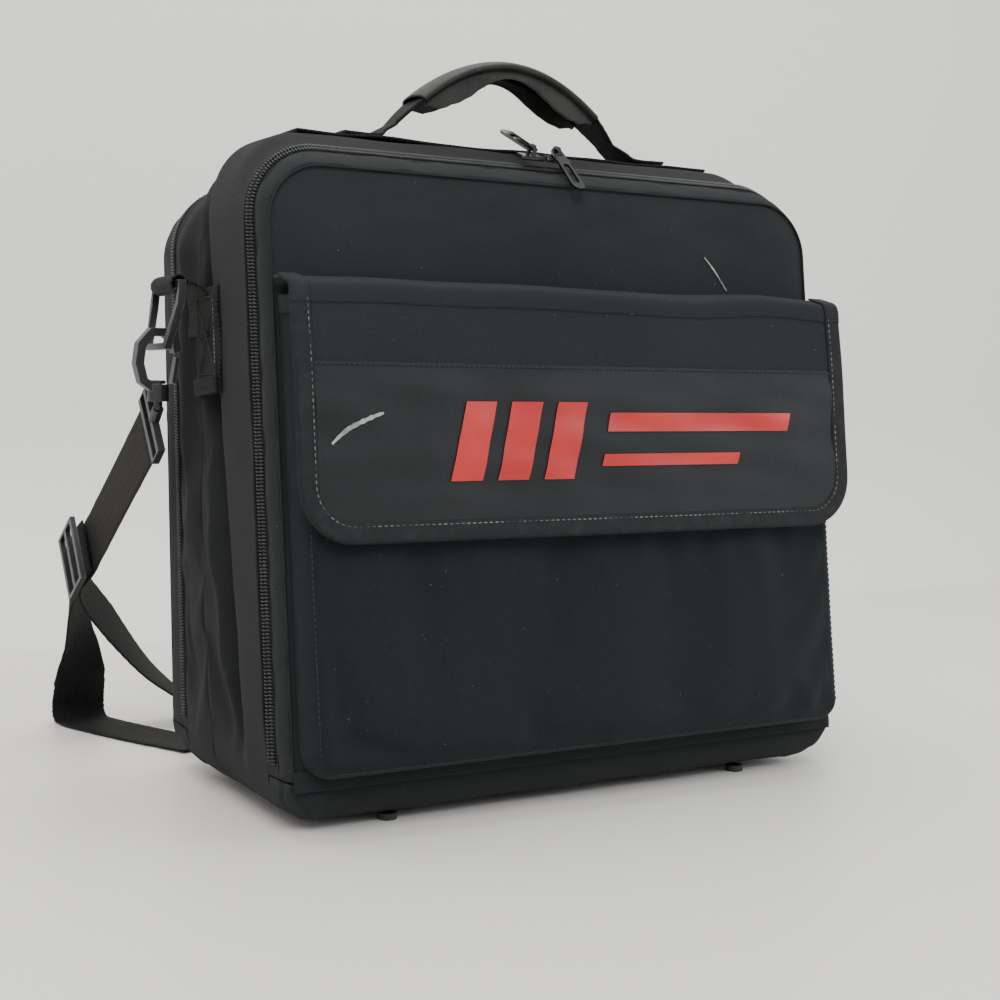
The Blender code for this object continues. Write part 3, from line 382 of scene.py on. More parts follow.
def settled(points, held, step, extra, cap, pressure=0.0, frames=20):
    """Lets a grid of cloth settle under its weight with its held points pinned.

    step thins the grid for the simulation, extra is the share of spare cloth, and cap limits the move.
    """
    points = np.asarray(points, float)
    rows = np.unique(np.r_[np.arange(0, points.shape[0], step[0]), points.shape[0] - 1])
    cols = np.unique(np.r_[np.arange(0, points.shape[1], step[1]), points.shape[1] - 1])
    rough = points[np.ix_(rows, cols)]
    bare = bpy.data.materials.get("settling") or bpy.data.materials.new("settling")
    obj = sheet("settling", rough, bare)
    pins = obj.vertex_groups.new(name="held")
    for k in np.flatnonzero(held[np.ix_(rows, cols)].ravel()):
        pins.add([int(k)], 1.0, "REPLACE")
    cloth_mod = obj.modifiers.new("cloth", "CLOTH")
    made = cloth_mod.settings
    made.quality, made.mass = 6, 0.15
    made.tension_stiffness = made.compression_stiffness = 20
    made.shear_stiffness, made.bending_stiffness = 8, 3.0
    made.vertex_group_mass = "held"
    made.shrink_min = made.shrink_max = -extra
    made.use_pressure = pressure != 0
    made.uniform_pressure_force = pressure
    cloth_mod.collision_settings.use_collision = False
    cloth_mod.collision_settings.use_self_collision = False
    cloth_mod.point_cache.frame_start, cloth_mod.point_cache.frame_end = 1, frames
    scene = bpy.context.scene
    for frame_number in range(1, frames + 1):
        scene.frame_set(frame_number)
    result = obj.evaluated_get(bpy.context.evaluated_depsgraph_get())
    settled_points = np.array([v.co for v in result.data.vertices]).reshape(rough.shape)
    mesh = obj.data
    bpy.data.objects.remove(obj)
    bpy.data.meshes.remove(mesh)
    scene.frame_set(1)
    move = np.nan_to_num(settled_points - rough)
    length = np.linalg.norm(move, axis=2)[..., None] + 1e-9
    move *= np.minimum(1, cap / length)
    return points + smooth_steps(move, points.shape[0], points.shape[1])


# ---- Materials ------------------------------------------------------------------------


class Shader:
    """A short way to write a node material."""

    def __init__(self, name, roughness=0.9, metallic=0.0):
        self.material = bpy.data.materials.new(name)
        self.material.use_nodes = True
        self.tree = self.material.node_tree
        self.out = self.tree.nodes["Principled BSDF"]
        self.out.inputs["Roughness"].default_value = roughness
        self.out.inputs["Metallic"].default_value = metallic

    def add(self, kind, inputs=None, **settings):
        made = self.tree.nodes.new(kind)
        for key, value in settings.items():
            setattr(made, key, value)
        for key, value in (inputs or {}).items():
            if isinstance(value, bpy.types.NodeSocket):
                self.tree.links.new(value, made.inputs[key])
            else:
                made.inputs[key].default_value = value
        return made

    def math(self, operation, a, b=0.0, clamp=False):
        return self.add("ShaderNodeMath", {0: a, 1: b}, operation=operation, use_clamp=clamp).outputs[0]

    def noise(self, where, scale, detail=3.0):
        made = self.add("ShaderNodeTexNoise", {"Vector": where, "Scale": scale, "Detail": detail})
        return made.outputs["Fac"]

    def ramp(self, value, low, high):
        made = self.add("ShaderNodeMapRange", {"Value": value, "From Min": low, "From Max": high})
        return made.outputs["Result"]

    def mix(self, share, a, b):
        made = self.add("ShaderNodeMix", {"Factor": share}, data_type="RGBA")
        for index, value in ((6, a), (7, b)):
            if isinstance(value, bpy.types.NodeSocket):
                self.tree.links.new(value, made.inputs[index])
            else:
                made.inputs[index].default_value = (*value, 1.0)
        return made.outputs[2]

    def link(self, key, value):
        self.tree.links.new(value, self.out.inputs[key])

    def bump(self, height, strength, distance):
        made = self.add("ShaderNodeBump", {"Height": height, "Strength": strength, "Distance": distance})
        self.link("Normal", made.outputs["Normal"])

    def uv(self):
        coords = self.add("ShaderNodeTexCoord").outputs["UV"]
        split = self.add("ShaderNodeSeparateXYZ", {0: coords})
        return split.outputs[0], split.outputs[1]

    def place(self):
        return self.add("ShaderNodeTexCoord").outputs["Object"]

    def edges(self, radius):
        """Near 1 on convex or concave edges, 0 on flat faces."""
        soft = self.add("ShaderNodeBevel", {"Radius": radius}, samples=6).outputs[0]
        true = self.add("ShaderNodeNewGeometry").outputs["Normal"]
        dot = self.add("ShaderNodeVectorMath", {0: soft, 1: true}, operation="DOT_PRODUCT")
        return self.ramp(dot.outputs["Value"], 0.995, 0.90)


def cloth(name, colour, worn, period=0.0011, rough=0.9, sheen=0.04, depth=0.6, dusty=0.35, weave=0.35):
    """Twill: diagonal ribs, uneven colour, lint and a little sheen, with painted shade in the weave's grooves
    and a painted highlight on its crests.
    """
    s = Shader(name, rough)
    u, v = s.uv()
    where = s.place()
    diagonal = s.math("SINE", s.math("MULTIPLY", s.math("ADD", u, v), 2 * pi / period))
    cross = s.math("SINE", s.math("MULTIPLY", s.math("SUBTRACT", u, v), 2 * pi / (period * 1.7)))
    thread = s.math("ADD", s.math("MULTIPLY", diagonal, 0.7), s.math("MULTIPLY", cross, 0.3))
    fuzz = s.noise(where, 2400, 2)
    height = s.math("ADD", thread, s.math("MULTIPLY", fuzz, 1.2))
    s.bump(height, depth, 0.00022)
    patches = s.ramp(s.noise(where, 9, 5), 0.38, 0.72)
    grime = s.ramp(s.noise(where, 70, 4), 0.45, 0.75)
    share = s.math("MULTIPLY_ADD", patches, dusty)
    share = s.math("ADD", share, s.math("MULTIPLY", grime, dusty * 0.15), True)
    base = s.mix(share, colour, worn)
    # painted shade and highlight: the colour follows the thread height, lighter on the crests and darker in
    # the grooves; weave sets how much
    shade = s.ramp(thread, -1.2, 1.0)
    base = s.mix(s.math("MULTIPLY", shade, weave), base, tuple(c * 1.6 for c in worn))
    lint = s.ramp(s.noise(where, 420, 1), 0.785, 0.81)
    s.link("Base Color", s.mix(s.math("MULTIPLY", lint, 0.22), base, (0.28, 0.28, 0.27)))
    s.out.inputs["Sheen Weight"].default_value = sheen
    s.out.inputs["Sheen Roughness"].default_value = 0.5
    s.out.inputs["Specular IOR Level"].default_value = 0.10
    return s.material


def satin():
    s = Shader("satin_nylon_look", 0.50)
    where = s.place()
    u, v = s.uv()
    weave = s.math("SINE", s.math("MULTIPLY", u, 2 * pi / 0.0009))
    weave = s.math("ADD", weave, s.math("SINE", s.math("MULTIPLY", v, 2 * pi / 0.0009)))
    s.bump(s.math("ADD", weave, s.math("MULTIPLY", s.noise(where, 40, 4), 3)), 0.25, 0.0002)
    share = s.ramp(s.noise(where, 14, 5), 0.35, 0.75)
    s.link("Base Color", s.mix(share, (0.0040, 0.0050, 0.0058), (0.0090, 0.0106, 0.0120)))
    s.out.inputs["Specular IOR Level"].default_value = 0.30
    return s.material


def webbing_look(name="webbing_look", colour=(0.0040, 0.0037, 0.0038), light=(0.0165, 0.0152, 0.0150)):
    """Flat webbing: ribs across, a herringbone along it, and a bolder edge, with a painted highlight on the
    ribs and painted shade between them.
    """
    s = Shader(name, 0.72)
    u, v = s.uv()
    side = s.math("ABSOLUTE", u)
    slant = s.math("PINGPONG", side, 0.0032)
    ribs = s.math("SINE", s.math("MULTIPLY", s.math("ADD", v, slant), 2 * pi / 0.0016))
    cords = s.math("SINE", s.math("MULTIPLY", u, 2 * pi / 0.0021))
    edge = s.ramp(side, WEBBING / 2 - 0.0030, WEBBING / 2 - 0.0015)
    knots = s.math("SINE", s.math("MULTIPLY", v, 2 * pi / 0.0028))
    body = s.math("ADD", s.math("MULTIPLY", ribs, 0.7), s.math("MULTIPLY", cords, 0.45))
    height = s.math("ADD", body, s.math("MULTIPLY", s.math("MULTIPLY", edge, knots), 1.1))
    where = s.place()
    s.bump(s.math("ADD", height, s.noise(where, 1500, 2)), 0.8, 0.00035)
    # painted shade and highlight: the colour follows the rib height, lighter on the crests and darker between
    # the ribs, plus random tone
    share = s.math("ADD", s.ramp(height, -1.0, 2.2), s.math("MULTIPLY", s.noise(where, 30, 4), 0.25), True)
    s.link("Base Color", s.mix(share, colour, light))
    s.out.inputs["Specular IOR Level"].default_value = 0.2
    return s.material


def tape_look(name, colour, light, period=0.0013):
    s = Shader(name, 0.7)
    u, v = s.uv()
    ribs = s.math("SINE", s.math("MULTIPLY", u, 2 * pi / period))
    cross = s.math("SINE", s.math("MULTIPLY", v, 2 * pi / (period * 0.7)))
    height = s.math("ADD", ribs, s.math("MULTIPLY", cross, 0.6))
    where = s.place()
    s.bump(s.math("ADD", height, s.noise(where, 1200, 2)), 0.6, 0.0002)
    worn = s.ramp(s.noise(where, 120, 4), 0.50, 0.80)
    # painted shade and highlight: half of the colour follows the rib height, lighter on the crests and darker
    # between them; the other half is random wear
    share = s.math("ADD", s.math("MULTIPLY", s.ramp(height, -1, 1.6), 0.5), s.math("MULTIPLY", worn, 0.5))
    s.link("Base Color", s.mix(share, colour, light))
    s.out.inputs["Specular IOR Level"].default_value = 0.2
    return s.material


def moulded(name, colour, scuff, rough=0.42, wear=0.8):
    """Moulded nylon: fine grain, scuffed lighter along its edges."""
    s = Shader(name, rough)
    where = s.place()
    s.bump(s.noise(where, 900, 3), 0.25, 0.0002)
    patchy = s.ramp(s.noise(where, 160, 4), 0.35, 0.65)
    share = s.math("MULTIPLY", s.math("MULTIPLY", s.edges(0.0009), patchy), wear)
    scratched = s.ramp(s.noise(where, 45, 5), 0.5, 0.8)
    base = s.mix(s.math("MULTIPLY", scratched, 0.4), colour, tuple(c * 2 for c in colour))
    s.link("Base Color", s.mix(share, base, scuff))
    return s.material


def enamel():
    """Black enamel on zinc, chipped a little at the edges."""
    s = Shader("slider_enamel", 0.24)
    where = s.place()
    chips = s.math("MULTIPLY", s.edges(0.0005), s.ramp(s.noise(where, 500, 3), 0.60, 0.74))
    s.link("Base Color", s.mix(chips, (0.006, 0.006, 0.007), (0.40, 0.39, 0.37)))
    s.link("Metallic", s.math("MULTIPLY", chips, 0.8))
    s.bump(s.noise(where, 220, 2), 0.12, 0.0002)
    s.out.inputs["Specular IOR Level"].default_value = 0.3
    s.out.inputs["Coat Weight"].default_value = 0.35
    s.out.inputs["Coat Roughness"].default_value = 0.08
    return s.material


def vinyl():
    """Grained vinyl, grey-brown where the hand has worn it."""
    s = Shader("grip_vinyl_look", 0.5)
    where = s.place()
    cells = s.add("ShaderNodeTexVoronoi", {"Vector": where, "Scale": 900}).outputs["Distance"]
    s.bump(s.math("ADD", cells, s.math("MULTIPLY", s.noise(where, 150, 4), 0.8)), 0.45, 0.0004)
    worn = s.ramp(s.noise(where, 38, 5), 0.36, 0.66)
    base = s.mix(worn, (0.0085, 0.0085, 0.0080), (0.0215, 0.0210, 0.0195))
    frayed = s.ramp(s.noise(where, 600, 3), 0.62, 0.74)
    s.link("Base Color", s.mix(s.math("MULTIPLY", frayed, 0.3), base, (0.10, 0.093, 0.085)))
    s.out.inputs["Specular IOR Level"].default_value = 0.28
    return s.material


def plain_look(name, colour, light, rough, scale, depth=0.4, size=0.0004):
    s = Shader(name, rough)
    where = s.place()
    grain = s.noise(where, scale, 4)
    s.bump(grain, depth, size)
    s.link("Base Color", s.mix(s.ramp(s.noise(where, scale / 12, 4), 0.35, 0.7), colour, light))
    return s.material


CANVAS = cloth("canvas_look", (0.0085, 0.0100, 0.0110), (0.019, 0.0215, 0.0225))
POCKET = cloth("pocket_canvas_look", (0.0062, 0.0082, 0.0094), (0.0125, 0.0155, 0.0170), period=0.0012)
FLAP = cloth("flap_twill_look", (0.0085, 0.0105, 0.0120), (0.018, 0.0215, 0.0235), period=0.0012)
BAND = cloth("band_cloth_look", (0.0080, 0.0086, 0.0098), (0.0165, 0.0172, 0.0185),
             period=0.0008, depth=0.35, dusty=0.25)
SOFT = cloth("soft_gusset_look", (0.0065, 0.0070, 0.0078), (0.0165, 0.0175, 0.0182), period=0.0010)
LINING = cloth("lining_look", (0.045, 0.047, 0.051), (0.080, 0.083, 0.088),
               period=0.0008, rough=0.6, depth=0.25, weave=0.06)
SATIN = satin()
WEB = webbing_look()
TAPE = tape_look("binding_tape_look", (0.0085, 0.0100, 0.0112), (0.0270, 0.0300, 0.0315))
ZIP_TAPE = tape_look("zip_tape_look", (0.008, 0.008, 0.009), (0.030, 0.030, 0.031), 0.0009)
COIL = plain_look("coil_look", (0.0105, 0.0105, 0.0112), (0.026, 0.026, 0.027), 0.46, 900, 0.1)
PLASTIC = moulded("plastic_look", (0.0110, 0.0118, 0.0135), (0.150, 0.148, 0.145))
ENAMEL = enamel()
VINYL = vinyl()
FOAM = plain_look("foam_look", (0.10, 0.105, 0.11), (0.16, 0.165, 0.17), 0.95, 1400, 0.8)
BOARD = plain_look("board_look", (0.050, 0.052, 0.056), (0.080, 0.082, 0.086), 0.7, 900)
HOOK_TAPE = plain_look("hook_tape_look", (0.006, 0.006, 0.007), (0.020, 0.020, 0.021),
                       0.98, 2200, 1.0, 0.0008)
RUBBER = plain_look("foot_look", (0.010, 0.010, 0.010), (0.024, 0.024, 0.024), 0.55, 700)
THREAD = plain_look("thread_look", (0.0075, 0.0082, 0.0090), (0.0200, 0.0210, 0.0220), 0.7, 900)
SEAM = plain_look("seam_look", (0.0030, 0.0032, 0.0036), (0.0070, 0.0074, 0.0080), 0.9, 900)
WORN_THREAD = plain_look("worn_thread_look", (0.014, 0.016, 0.017), (0.20, 0.20, 0.19), 0.8, 1500)
MARK = plain_look("mark_red", (0.40, 0.012, 0.012), (0.50, 0.026, 0.022), 0.38, 300, 0.15)
CHALK = plain_look("chalk_look", (0.13, 0.14, 0.14), (0.42, 0.43, 0.42), 0.95, 1800, 0.5)


# ---- The case's walls -----------------------------------------------------------------


def fold_y(z):
    """Where the stiff front band of the gusset ends and the soft cloth begins."""
    return GUSSET_FRONT_Y + 0.036 + 0.034 * np.clip((z - 0.03) / 0.31, 0, 1)


def gusset_swell(x, y, z):
    """How far the side cloth stands out: a stiff band, a deep fold, then loose folds."""
    wall = eased((np.abs(x) - 0.160) / 0.030) * eased((z - 0.016) / 0.05) * eased((0.372 - z) / 0.05)
    past = y - fold_y(z)
    band = 0.0016 * eased(-past / 0.006)
    crease = -0.0065 * np.exp(-((past - 0.004) ** 2) / (2 * 0.0045**2))
    slant = past + 0.060 * (z - 0.20) + 0.004 * np.sin(z * 15 + 0.6)
    loose = eased((past - 0.006) / 0.012) * eased((0.0600 - y) / 0.010)
    folds = 0.0024 * np.sin(slant * 2 * pi / 0.046 + 1.1) + 0.0012 * ripples(y, z * 0.35, 5, 0.030)
    belly = 0.0045 * np.sin(np.clip((z - 0.03) / 0.32, 0, 1) * pi)
    return wall * (band + crease + loose * (folds + belly)) + 0.0004 * ripples(x + y, z, 11, 0.05)


def near_fittings(y, z):
    """The part of the side that the patch and the ring's keeper are sewn to."""
    return (z > 0.222) & (z < 0.315) & (y > -0.036) & (y < 0.050)


GUSSET_REAR_Y, REAR_WALL_Y = 0.0112, 0.0118  # where one compartment's skin ends and the next begins


def build_gusset():
    rows = 58
    stations = np.linspace(GUSSET_FRONT_Y, GUSSET_REAR_Y, rows)
    points = wall_points([ring_line()] * rows, stations, gusset_swell)
    y, z = points[..., 1], points[..., 2]
    loose = (y > fold_y(z) + 0.002) & (y < 0.0100) & (z > 0.030) & (z < 0.345) & ~near_fittings(y, z)
    move = settled(points, ~loose, (2, 3), 0.018, 0.0040) - points
    skin = sheet("gusset_skin", placed(points + move), BAND, 0.0014)
    skin.data.materials.append(SOFT)
    past = (y > fold_y(z) + 0.001).ravel()
    for face in skin.data.polygons:
        face.material_index = int(all(past[k] for k in face.vertices))
    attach(skin, "case")
    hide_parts("main_gusset")
    within = stations < 0.0080
    layers = (("gusset_padding", "gusset_foam", 0.0024, 0.0046, FOAM, "foam"),
              ("gusset_inner", "gusset_lining", 0.0078, 0.0008, LINING, "lining"))
    for name, node, inset, thick, look, slot in layers:
        inside = wall_points([ring_line(inset)] * rows, stations, gusset_swell) + move
        layer = sheet(name, placed(inside[within]), look, thick)
        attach(layer, "case")
        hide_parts(node)


def build_step():
    """The cloth between the main compartment's rear rim and the lower rim of the rear one."""
    ends = (GUSSET_REAR_Y, REAR_WALL_Y)
    upper, lower = wall_points([ring_line(), ring_line(0, REAR_DROP)], ends, gusset_swell)
    rows = [upper + (lower - upper) * share for share in np.linspace(0, 1, 7)]
    step = sheet("rear_step", placed(np.array(rows)), SOFT, 0.0014)
    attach(step, "case")


def build_rear_walls():
    rows = 36
    stations = np.linspace(REAR_WALL_Y, REAR_ZIP_Y - ZIP_HALF + 0.0006, rows)
    points = wall_points([ring_line(0, REAR_DROP)] * rows, stations, gusset_swell)
    y, z = points[..., 1], points[..., 2]
    loose = (y > 0.0140) & (y < 0.0575) & (z > 0.020) & (z < HEIGHT - REAR_DROP - 0.035)
    loose &= ~near_fittings(y, z)
    move = settled(points, ~loose, (2, 3), 0.015, 0.0036) - points
    rear = sheet("rear_skin", placed(points + move), SOFT, 0.0014)
    inside = wall_points([ring_line(0.0024, REAR_DROP)] * rows, stations, gusset_swell) + move
    inner = sheet("rear_inner", placed(inside[stations > 0.0148]), LINING, 0.0008)
    for piece, slot, node in ((rear, "canvas", "rear_gusset"), (inner, "lining", "rear_lining")):
        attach(piece, "case")
        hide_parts(node)
    inset = 0.0086
    grid = plate_grid(HALF - inset, FOOT_HEIGHT + inset, HEIGHT - REAR_DROP - inset, 0.0174, 0.0334, 90, 90)
    x, z, edge = grid
    x = x * (1 + gusset_swell(np.full_like(z, HALF), 0.0090, z) / HALF)
    y = np.full_like(x, inset) - 0.0012 * (1 - np.exp(-edge / 0.02))
    divider = plate("divider_cloth", (x, z, edge), y, LINING, 0.0060)
    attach(divider, "case")
    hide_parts("divider_panel")


def sill_line(inset_side, inset_low, count=340):
    """Down the right side, under the case and up the left one."""
    half, low = HALF - inset_side, FOOT_HEIGHT + inset_low
    radius = LOW_RADIUS - inset_low
    parts = [
        [(half, HINGE_Z)],
        arc(half - radius, low + radius, radius, 0, -90),
        arc(-half + radius, low + radius, radius, 270, 180),
        [(-half, HINGE_Z)],
    ]
    return resampled(np.concatenate(parts), count)


def roll(name, y_open, y_case, node, look):
    """The rolled bottom edge, puckered a little near its corners."""
    lines, ys = [], []
    for share in np.linspace(0, 1, 20):
        turned = 1 - np.sqrt(max(1 - (1 - share) ** 2, 0.0))
        lines.append(sill_line(INSET_SIDE * turned, 0.0235 * turned))
        ys.append(y_open + (y_case - y_open) * share)

    def puckers(x, y, z):
        corner = eased((np.abs(x) - HALF + 0.050) / 0.040)
        long_ones = 0.0004 * ripples(x, z * 3 + y, 21, 0.060)
        return long_ones + 0.0007 * corner * ripples(x * 1.5, y * 2 + z, 23, 0.020)

    piece = loft(name, lines, ys, puckers, look, 0.0016, y_case < y_open)
    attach(piece, "case")
    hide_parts(node)


# ---- Zippers --------------------------------------------------------------------------


def on_rim(line, y):
    """Points in space of an (x, z) line at one y."""
    return np.stack([line[:, 0], np.full(len(line), y), line[:, 1]], axis=1)


def unit(vectors):
    return vectors / (np.linalg.norm(vectors, axis=1)[:, None] + 1e-12)


def zip_half(name, node, body, y_mid, side, rear=False):
    """One side of a coil zipper: its tape, and a tooth every 2.1 mm."""
    pitch, row = 0.0021, 0.0023
    ys = y_mid + side * np.linspace(0.00005, ZIP_HALF + 0.0008, 9)
    lines = [rim_line(y, rear) for y in ys]
    tape = loft(name + "_tape", lines, ys, lambda x, y, z: 0 * x, ZIP_TAPE, 0.0008, side < 0)
    count = int(1.10 / pitch)
    line, beside = (rim_line(y_mid + side * d, rear, HINGE_Z + 0.008, 2 * count) for d in (row, row + 0.001))
    base = placed(on_rim(line, y_mid + side * row))
    across = unit(placed(on_rim(beside, y_mid + side * (row + 0.001))) - base)
    up = unit(np.cross(np.gradient(base, axis=0), across)) * side
    pick = np.arange(1 if side > 0 else 0, 2 * count, 2)
    tooth = (0.0018, 0.00062, 0.0011)
    coil = beads(name + "_teeth", (base + up * 0.0006)[pick], across[pick], up[pick], tooth, COIL)
    piece = joined(name, coil, tape)
    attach(piece, body)
    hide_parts(node)


def build_zippers():
    zip_half("main_zip_case_side", "main_zipper_case_half", "case", MAIN_ZIP_Y, 1)
    zip_half("main_zip_lid_side", "main_zipper_lid_half", "front_lid", MAIN_ZIP_Y, -1)
    zip_half("rear_zip_case_side", "rear_zipper_case_half", "case", REAR_ZIP_Y, -1, True)
    zip_half("rear_zip_lid_side", "rear_zipper_lid_half", "rear_lid", REAR_ZIP_Y, 1, True)


# ---- Lids -----------------------------------------------------------------------------


def edge_band(name, node, body, y_seam, y_zip, rear=False):
    """Cloth that slopes from the panel's seam up to the zipper."""
    ys = np.linspace(y_seam, y_zip, 14)
    lines = [rim_line(y, rear, count=380) for y in ys]

    def soft(x, y, z):
        belly = 0.0010 * sin(pi * np.clip((y - y_seam) / (y_zip - y_seam), 0, 1))
        return belly + 0.0005 * ripples(x + z, z - x, 31, 0.03)

    piece = loft(name, lines, ys, soft, CANVAS, 0.0014, y_zip < y_seam)
    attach(piece, body)
    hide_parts(node)


def panel_seam(name, body, y, inset_side, inset_top, drop):
    """The cord sewn into a lid panel's seam."""
    line = arch_line(inset_side + 0.0004, inset_top + 0.0004, drop, low=HINGE_Z + 0.006, count=420)
    path = placed(np.stack([line[:, 0], np.full(len(line), y), line[:, 1]], axis=1))
    seam = ribbon(name, path, (0, 1, 0), 0.0011, 0.0011, SEAM, columns=3)
    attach(seam, body)


def panel_face(name, nodes, body, y, inward, inset_top, drop):
    """A lid's outer panel: filled out a little, slack under its top edge."""
    top = HEIGHT - drop - inset_top
    radius = TOP_RADIUS - (INSET_SIDE + inset_top) / 2
    x, z, edge = plate_grid(HALF - INSET_SIDE, HINGE_Z + 0.001, top, 0.004, radius)
    fill = 0.0034 * (1 - np.exp(-edge / 0.011))
    slack = 0.0009 * ripples(x, z, 41, 0.09) * np.clip(edge / 0.02, 0, 1)
    ridge = 0.0010 * np.exp(-((z - (top - 0.022)) ** 2) / (2 * 0.007**2))
    ridge = ridge * ripples(x, z, 43, 0.06) * np.clip(edge / 0.01, 0, 1)
    points = np.stack([x, y - inward * (fill + slack + ridge), z], axis=-1)
    if inward < 0:
        points = settled(points, edge < 0.006, (3, 4), 0.010, 0.0030)
    face = sheet(name, placed(points), CANVAS, 0.0016, inward < 0)
    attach(face, body)
    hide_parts(*nodes)


def padding(name, nodes, body, y, inward, inset_top, drop):
    """The quilted inside of a lid."""
    half = HALF - INSET_SIDE - 0.012
    grid = plate_grid(half, HINGE_Z + 0.014, HEIGHT - drop - inset_top - 0.012, 0.008, 0.028, 120, 100)
    x, z, edge = grid
    puff = 0.0042 * np.sqrt(np.clip(edge / 0.012, 0, 1))
    quilt = 0.0007 * (np.abs(np.sin(x * pi / 0.060)) * np.abs(np.sin(z * pi / 0.060))) ** 0.4
    piece = plate(name, grid, y + inward * (0.0014 + puff + quilt), LINING, 0.0010, inward > 0)
    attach(piece, body)
    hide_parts(*nodes)


def pocket_depth(x, z, edge):
    """How far the pocket's cloth stands in front of the panel."""
    turned = np.clip(edge / 0.011, 0, 1)
    box = np.sqrt(np.clip(1 - (1 - turned) ** 2.4, 0, 1))
    sag = 0.0020 * np.exp(-((z - 0.070) ** 2) / (2 * 0.035**2)) * np.clip(1 - (x / 0.19) ** 2, 0, 1)
    low_corner = np.exp(-(((np.abs(x) - 0.165) / 0.022) ** 2 + ((z - 0.050) / 0.020) ** 2))
    pucker = 0.0010 * low_corner * ripples(x * 1.4 + z, z - x * 0.5, 57, 0.034)
    soft = 0.0010 * ripples(x, z, 51, 0.11) + 0.0004 * ripples(x, z, 53, 0.030)
    return (POCKET_DEEP - 0.0012) * box + (sag + pucker + soft) * turned


def pocket_seam(place, x, z, edge):
    """A row of stitches on the pocket's face, at one distance from its edge."""
    y = FRONT_Y - 0.0006 - pocket_depth(x, z, np.full(len(x), edge))
    path = placed(np.stack([x, y, z], axis=1))
    seam = stitches(f"pocket_seam_{place}", path, (0, -1, 0), 0.0034, 0.0024, 0.00035, THREAD)
    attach(seam, "front_lid")


def build_pocket():
    low, half = POCKET_LOW, POCKET_HALF
    rows, columns = 130, 190
    z = low + (POCKET_TOP - low) * np.linspace(0, 1, rows + 1) ** 1.7
    corner = 0.016
    cut = np.clip(corner - (z - low), 0, corner)
    wide = half - (corner - np.sqrt(corner**2 - cut**2))
    x = spread(columns, 2.3)[None, :] * wide[:, None]
    z = np.repeat(z[:, None], columns + 1, axis=1)
    qx, qz = np.abs(x) - half + corner, low + corner - z
    outside = np.hypot(np.maximum(qx, 0), np.maximum(qz, 0)) + np.minimum(np.maximum(qx, qz), 0)
    edge = np.maximum(corner - outside, 0)
    y = FRONT_Y - 0.0004 - pocket_depth(x, z, edge)
    loop_low, loop_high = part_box("pocket_loop_strip")
    by_strip = (np.abs(x) < loop_high.x + 0.004) & (z > loop_low.z + FOOT_HEIGHT - 0.005)
    by_strip &= z < loop_high.z + FOOT_HEIGHT + 0.005
    held = (edge < 0.012) | (z > POCKET_TOP - 0.014) | by_strip
    points = settled(np.stack([x, y, z], axis=-1), held, (3, 4), 0.012, 0.0035, 0.5)
    cloth_piece = sheet("pocket_cloth", placed(points), POCKET, 0.0014)
    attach(cloth_piece, "front_lid")
    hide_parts("pocket_pouch")
    columns = spread(190, 2.3) * half
    rows = []
    for up, proud in ((-0.0098, 0.0), (-0.0094, 0.0009), (-0.005, 0.0011), (0.0001, 0.0010), (0.0012, 0.0)):
        depth = pocket_depth(columns, np.full_like(columns, POCKET_TOP + min(up, 0)), half - np.abs(columns))
        outside = np.sign(columns) * proud * (np.abs(columns) > half - 0.004)
        hem_z = np.full_like(columns, POCKET_TOP + up)
        rows.append(np.stack([columns + outside, FRONT_Y - 0.0004 - depth - proud, hem_z], axis=1))
    hem = sheet("pocket_hem", placed(rows), FLAP, 0.0008)
    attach(hem, "front_lid")
    seam_in = 0.0050
    heights = np.linspace(low + corner, POCKET_TOP - 0.002, 90)
    for side_name, side in SIDES:
        pocket_seam(side_name, np.full(90, side * (half - seam_in)), heights, seam_in)
    bottom = np.linspace(-half + corner, half - corner, 160)
    pocket_seam("low", bottom, np.full(160, low + seam_in), seam_in)


# ---- Flap -----------------------------------------------------------------------------

FLAP_FACE = FOLD_Y - 0.0022
SCUFF_FLAP = ((-0.1700, 0.2130), (-0.1600, 0.2210), (-0.1480, 0.2265), (-0.1390, 0.2295))
SCUFF_PANEL = ((0.1050, 0.3280), (0.1130, 0.3190), (0.1215, 0.3070))


def flap_out(x, z):
    """The flap's outer face: a slight bow, a lifted lower edge and soft ripples."""
    down = np.clip((FOLD_Z - z) / (FOLD_Z - FLAP_LOW), 0, 1)
    bow = 0.0016 * np.sin(down * pi)
    lift = 0.0022 * eased((down - 0.75) / 0.25) * (0.6 + 0.4 * np.cos(x * 22))
    soft = 0.0008 * ripples(x, z, 61, 0.10) * np.clip(down * 3, 0, 1)
    return bow + lift + soft


def satin_out(x, z):
    """Extra ripples of the thin satin panel, away from its edges."""
    inside = eased((FLAP_SEAM - z) / 0.02) * eased((z - FLAP_LOW - BINDING) / 0.02)
    return 0.0008 * inside * (ripples(x * 0.7 + z, z - x * 0.3, 63, 0.045) + 0.7)


def flap_line(inset, count=260):
    """Down the left side, round the bottom and up the right."""
    half, low, radius = FLAP_HALF - inset, FLAP_LOW + inset, FLAP_RADIUS - inset
    parts = [
        [(-half, FOLD_Z - 0.001)],
        arc(-half + radius, low + radius, radius, 180, 270),
        arc(half - radius, low + radius, radius, 270, 360),
        [(half, FOLD_Z - 0.001)],
    ]
    return resampled(np.concatenate(parts), count)


def on_flap(line, proud):
    x, z = line[:, 0], line[:, 1]
    return np.stack([x, FLAP_FACE - flap_out(x, z) - proud, z], axis=1)


def bar_mark(name, corners, steps=24):
    """A flat printed shape between two slanted ends: left x, right x, low z, high z, slant."""
    left, right, low, high, slant = corners
    share = np.linspace(0, 1, steps)
    up = np.linspace(0, 1, 14)[:, None]
    x = left + (right - left) * share[None, :] + slant * up
    z = low + (high - low) * np.repeat(up, steps, axis=1)
    y = FLAP_FACE - flap_out(x, z) - satin_out(x, z) - 0.00110
    return sheet(name, placed(np.stack([x, y, z], axis=-1)), MARK)


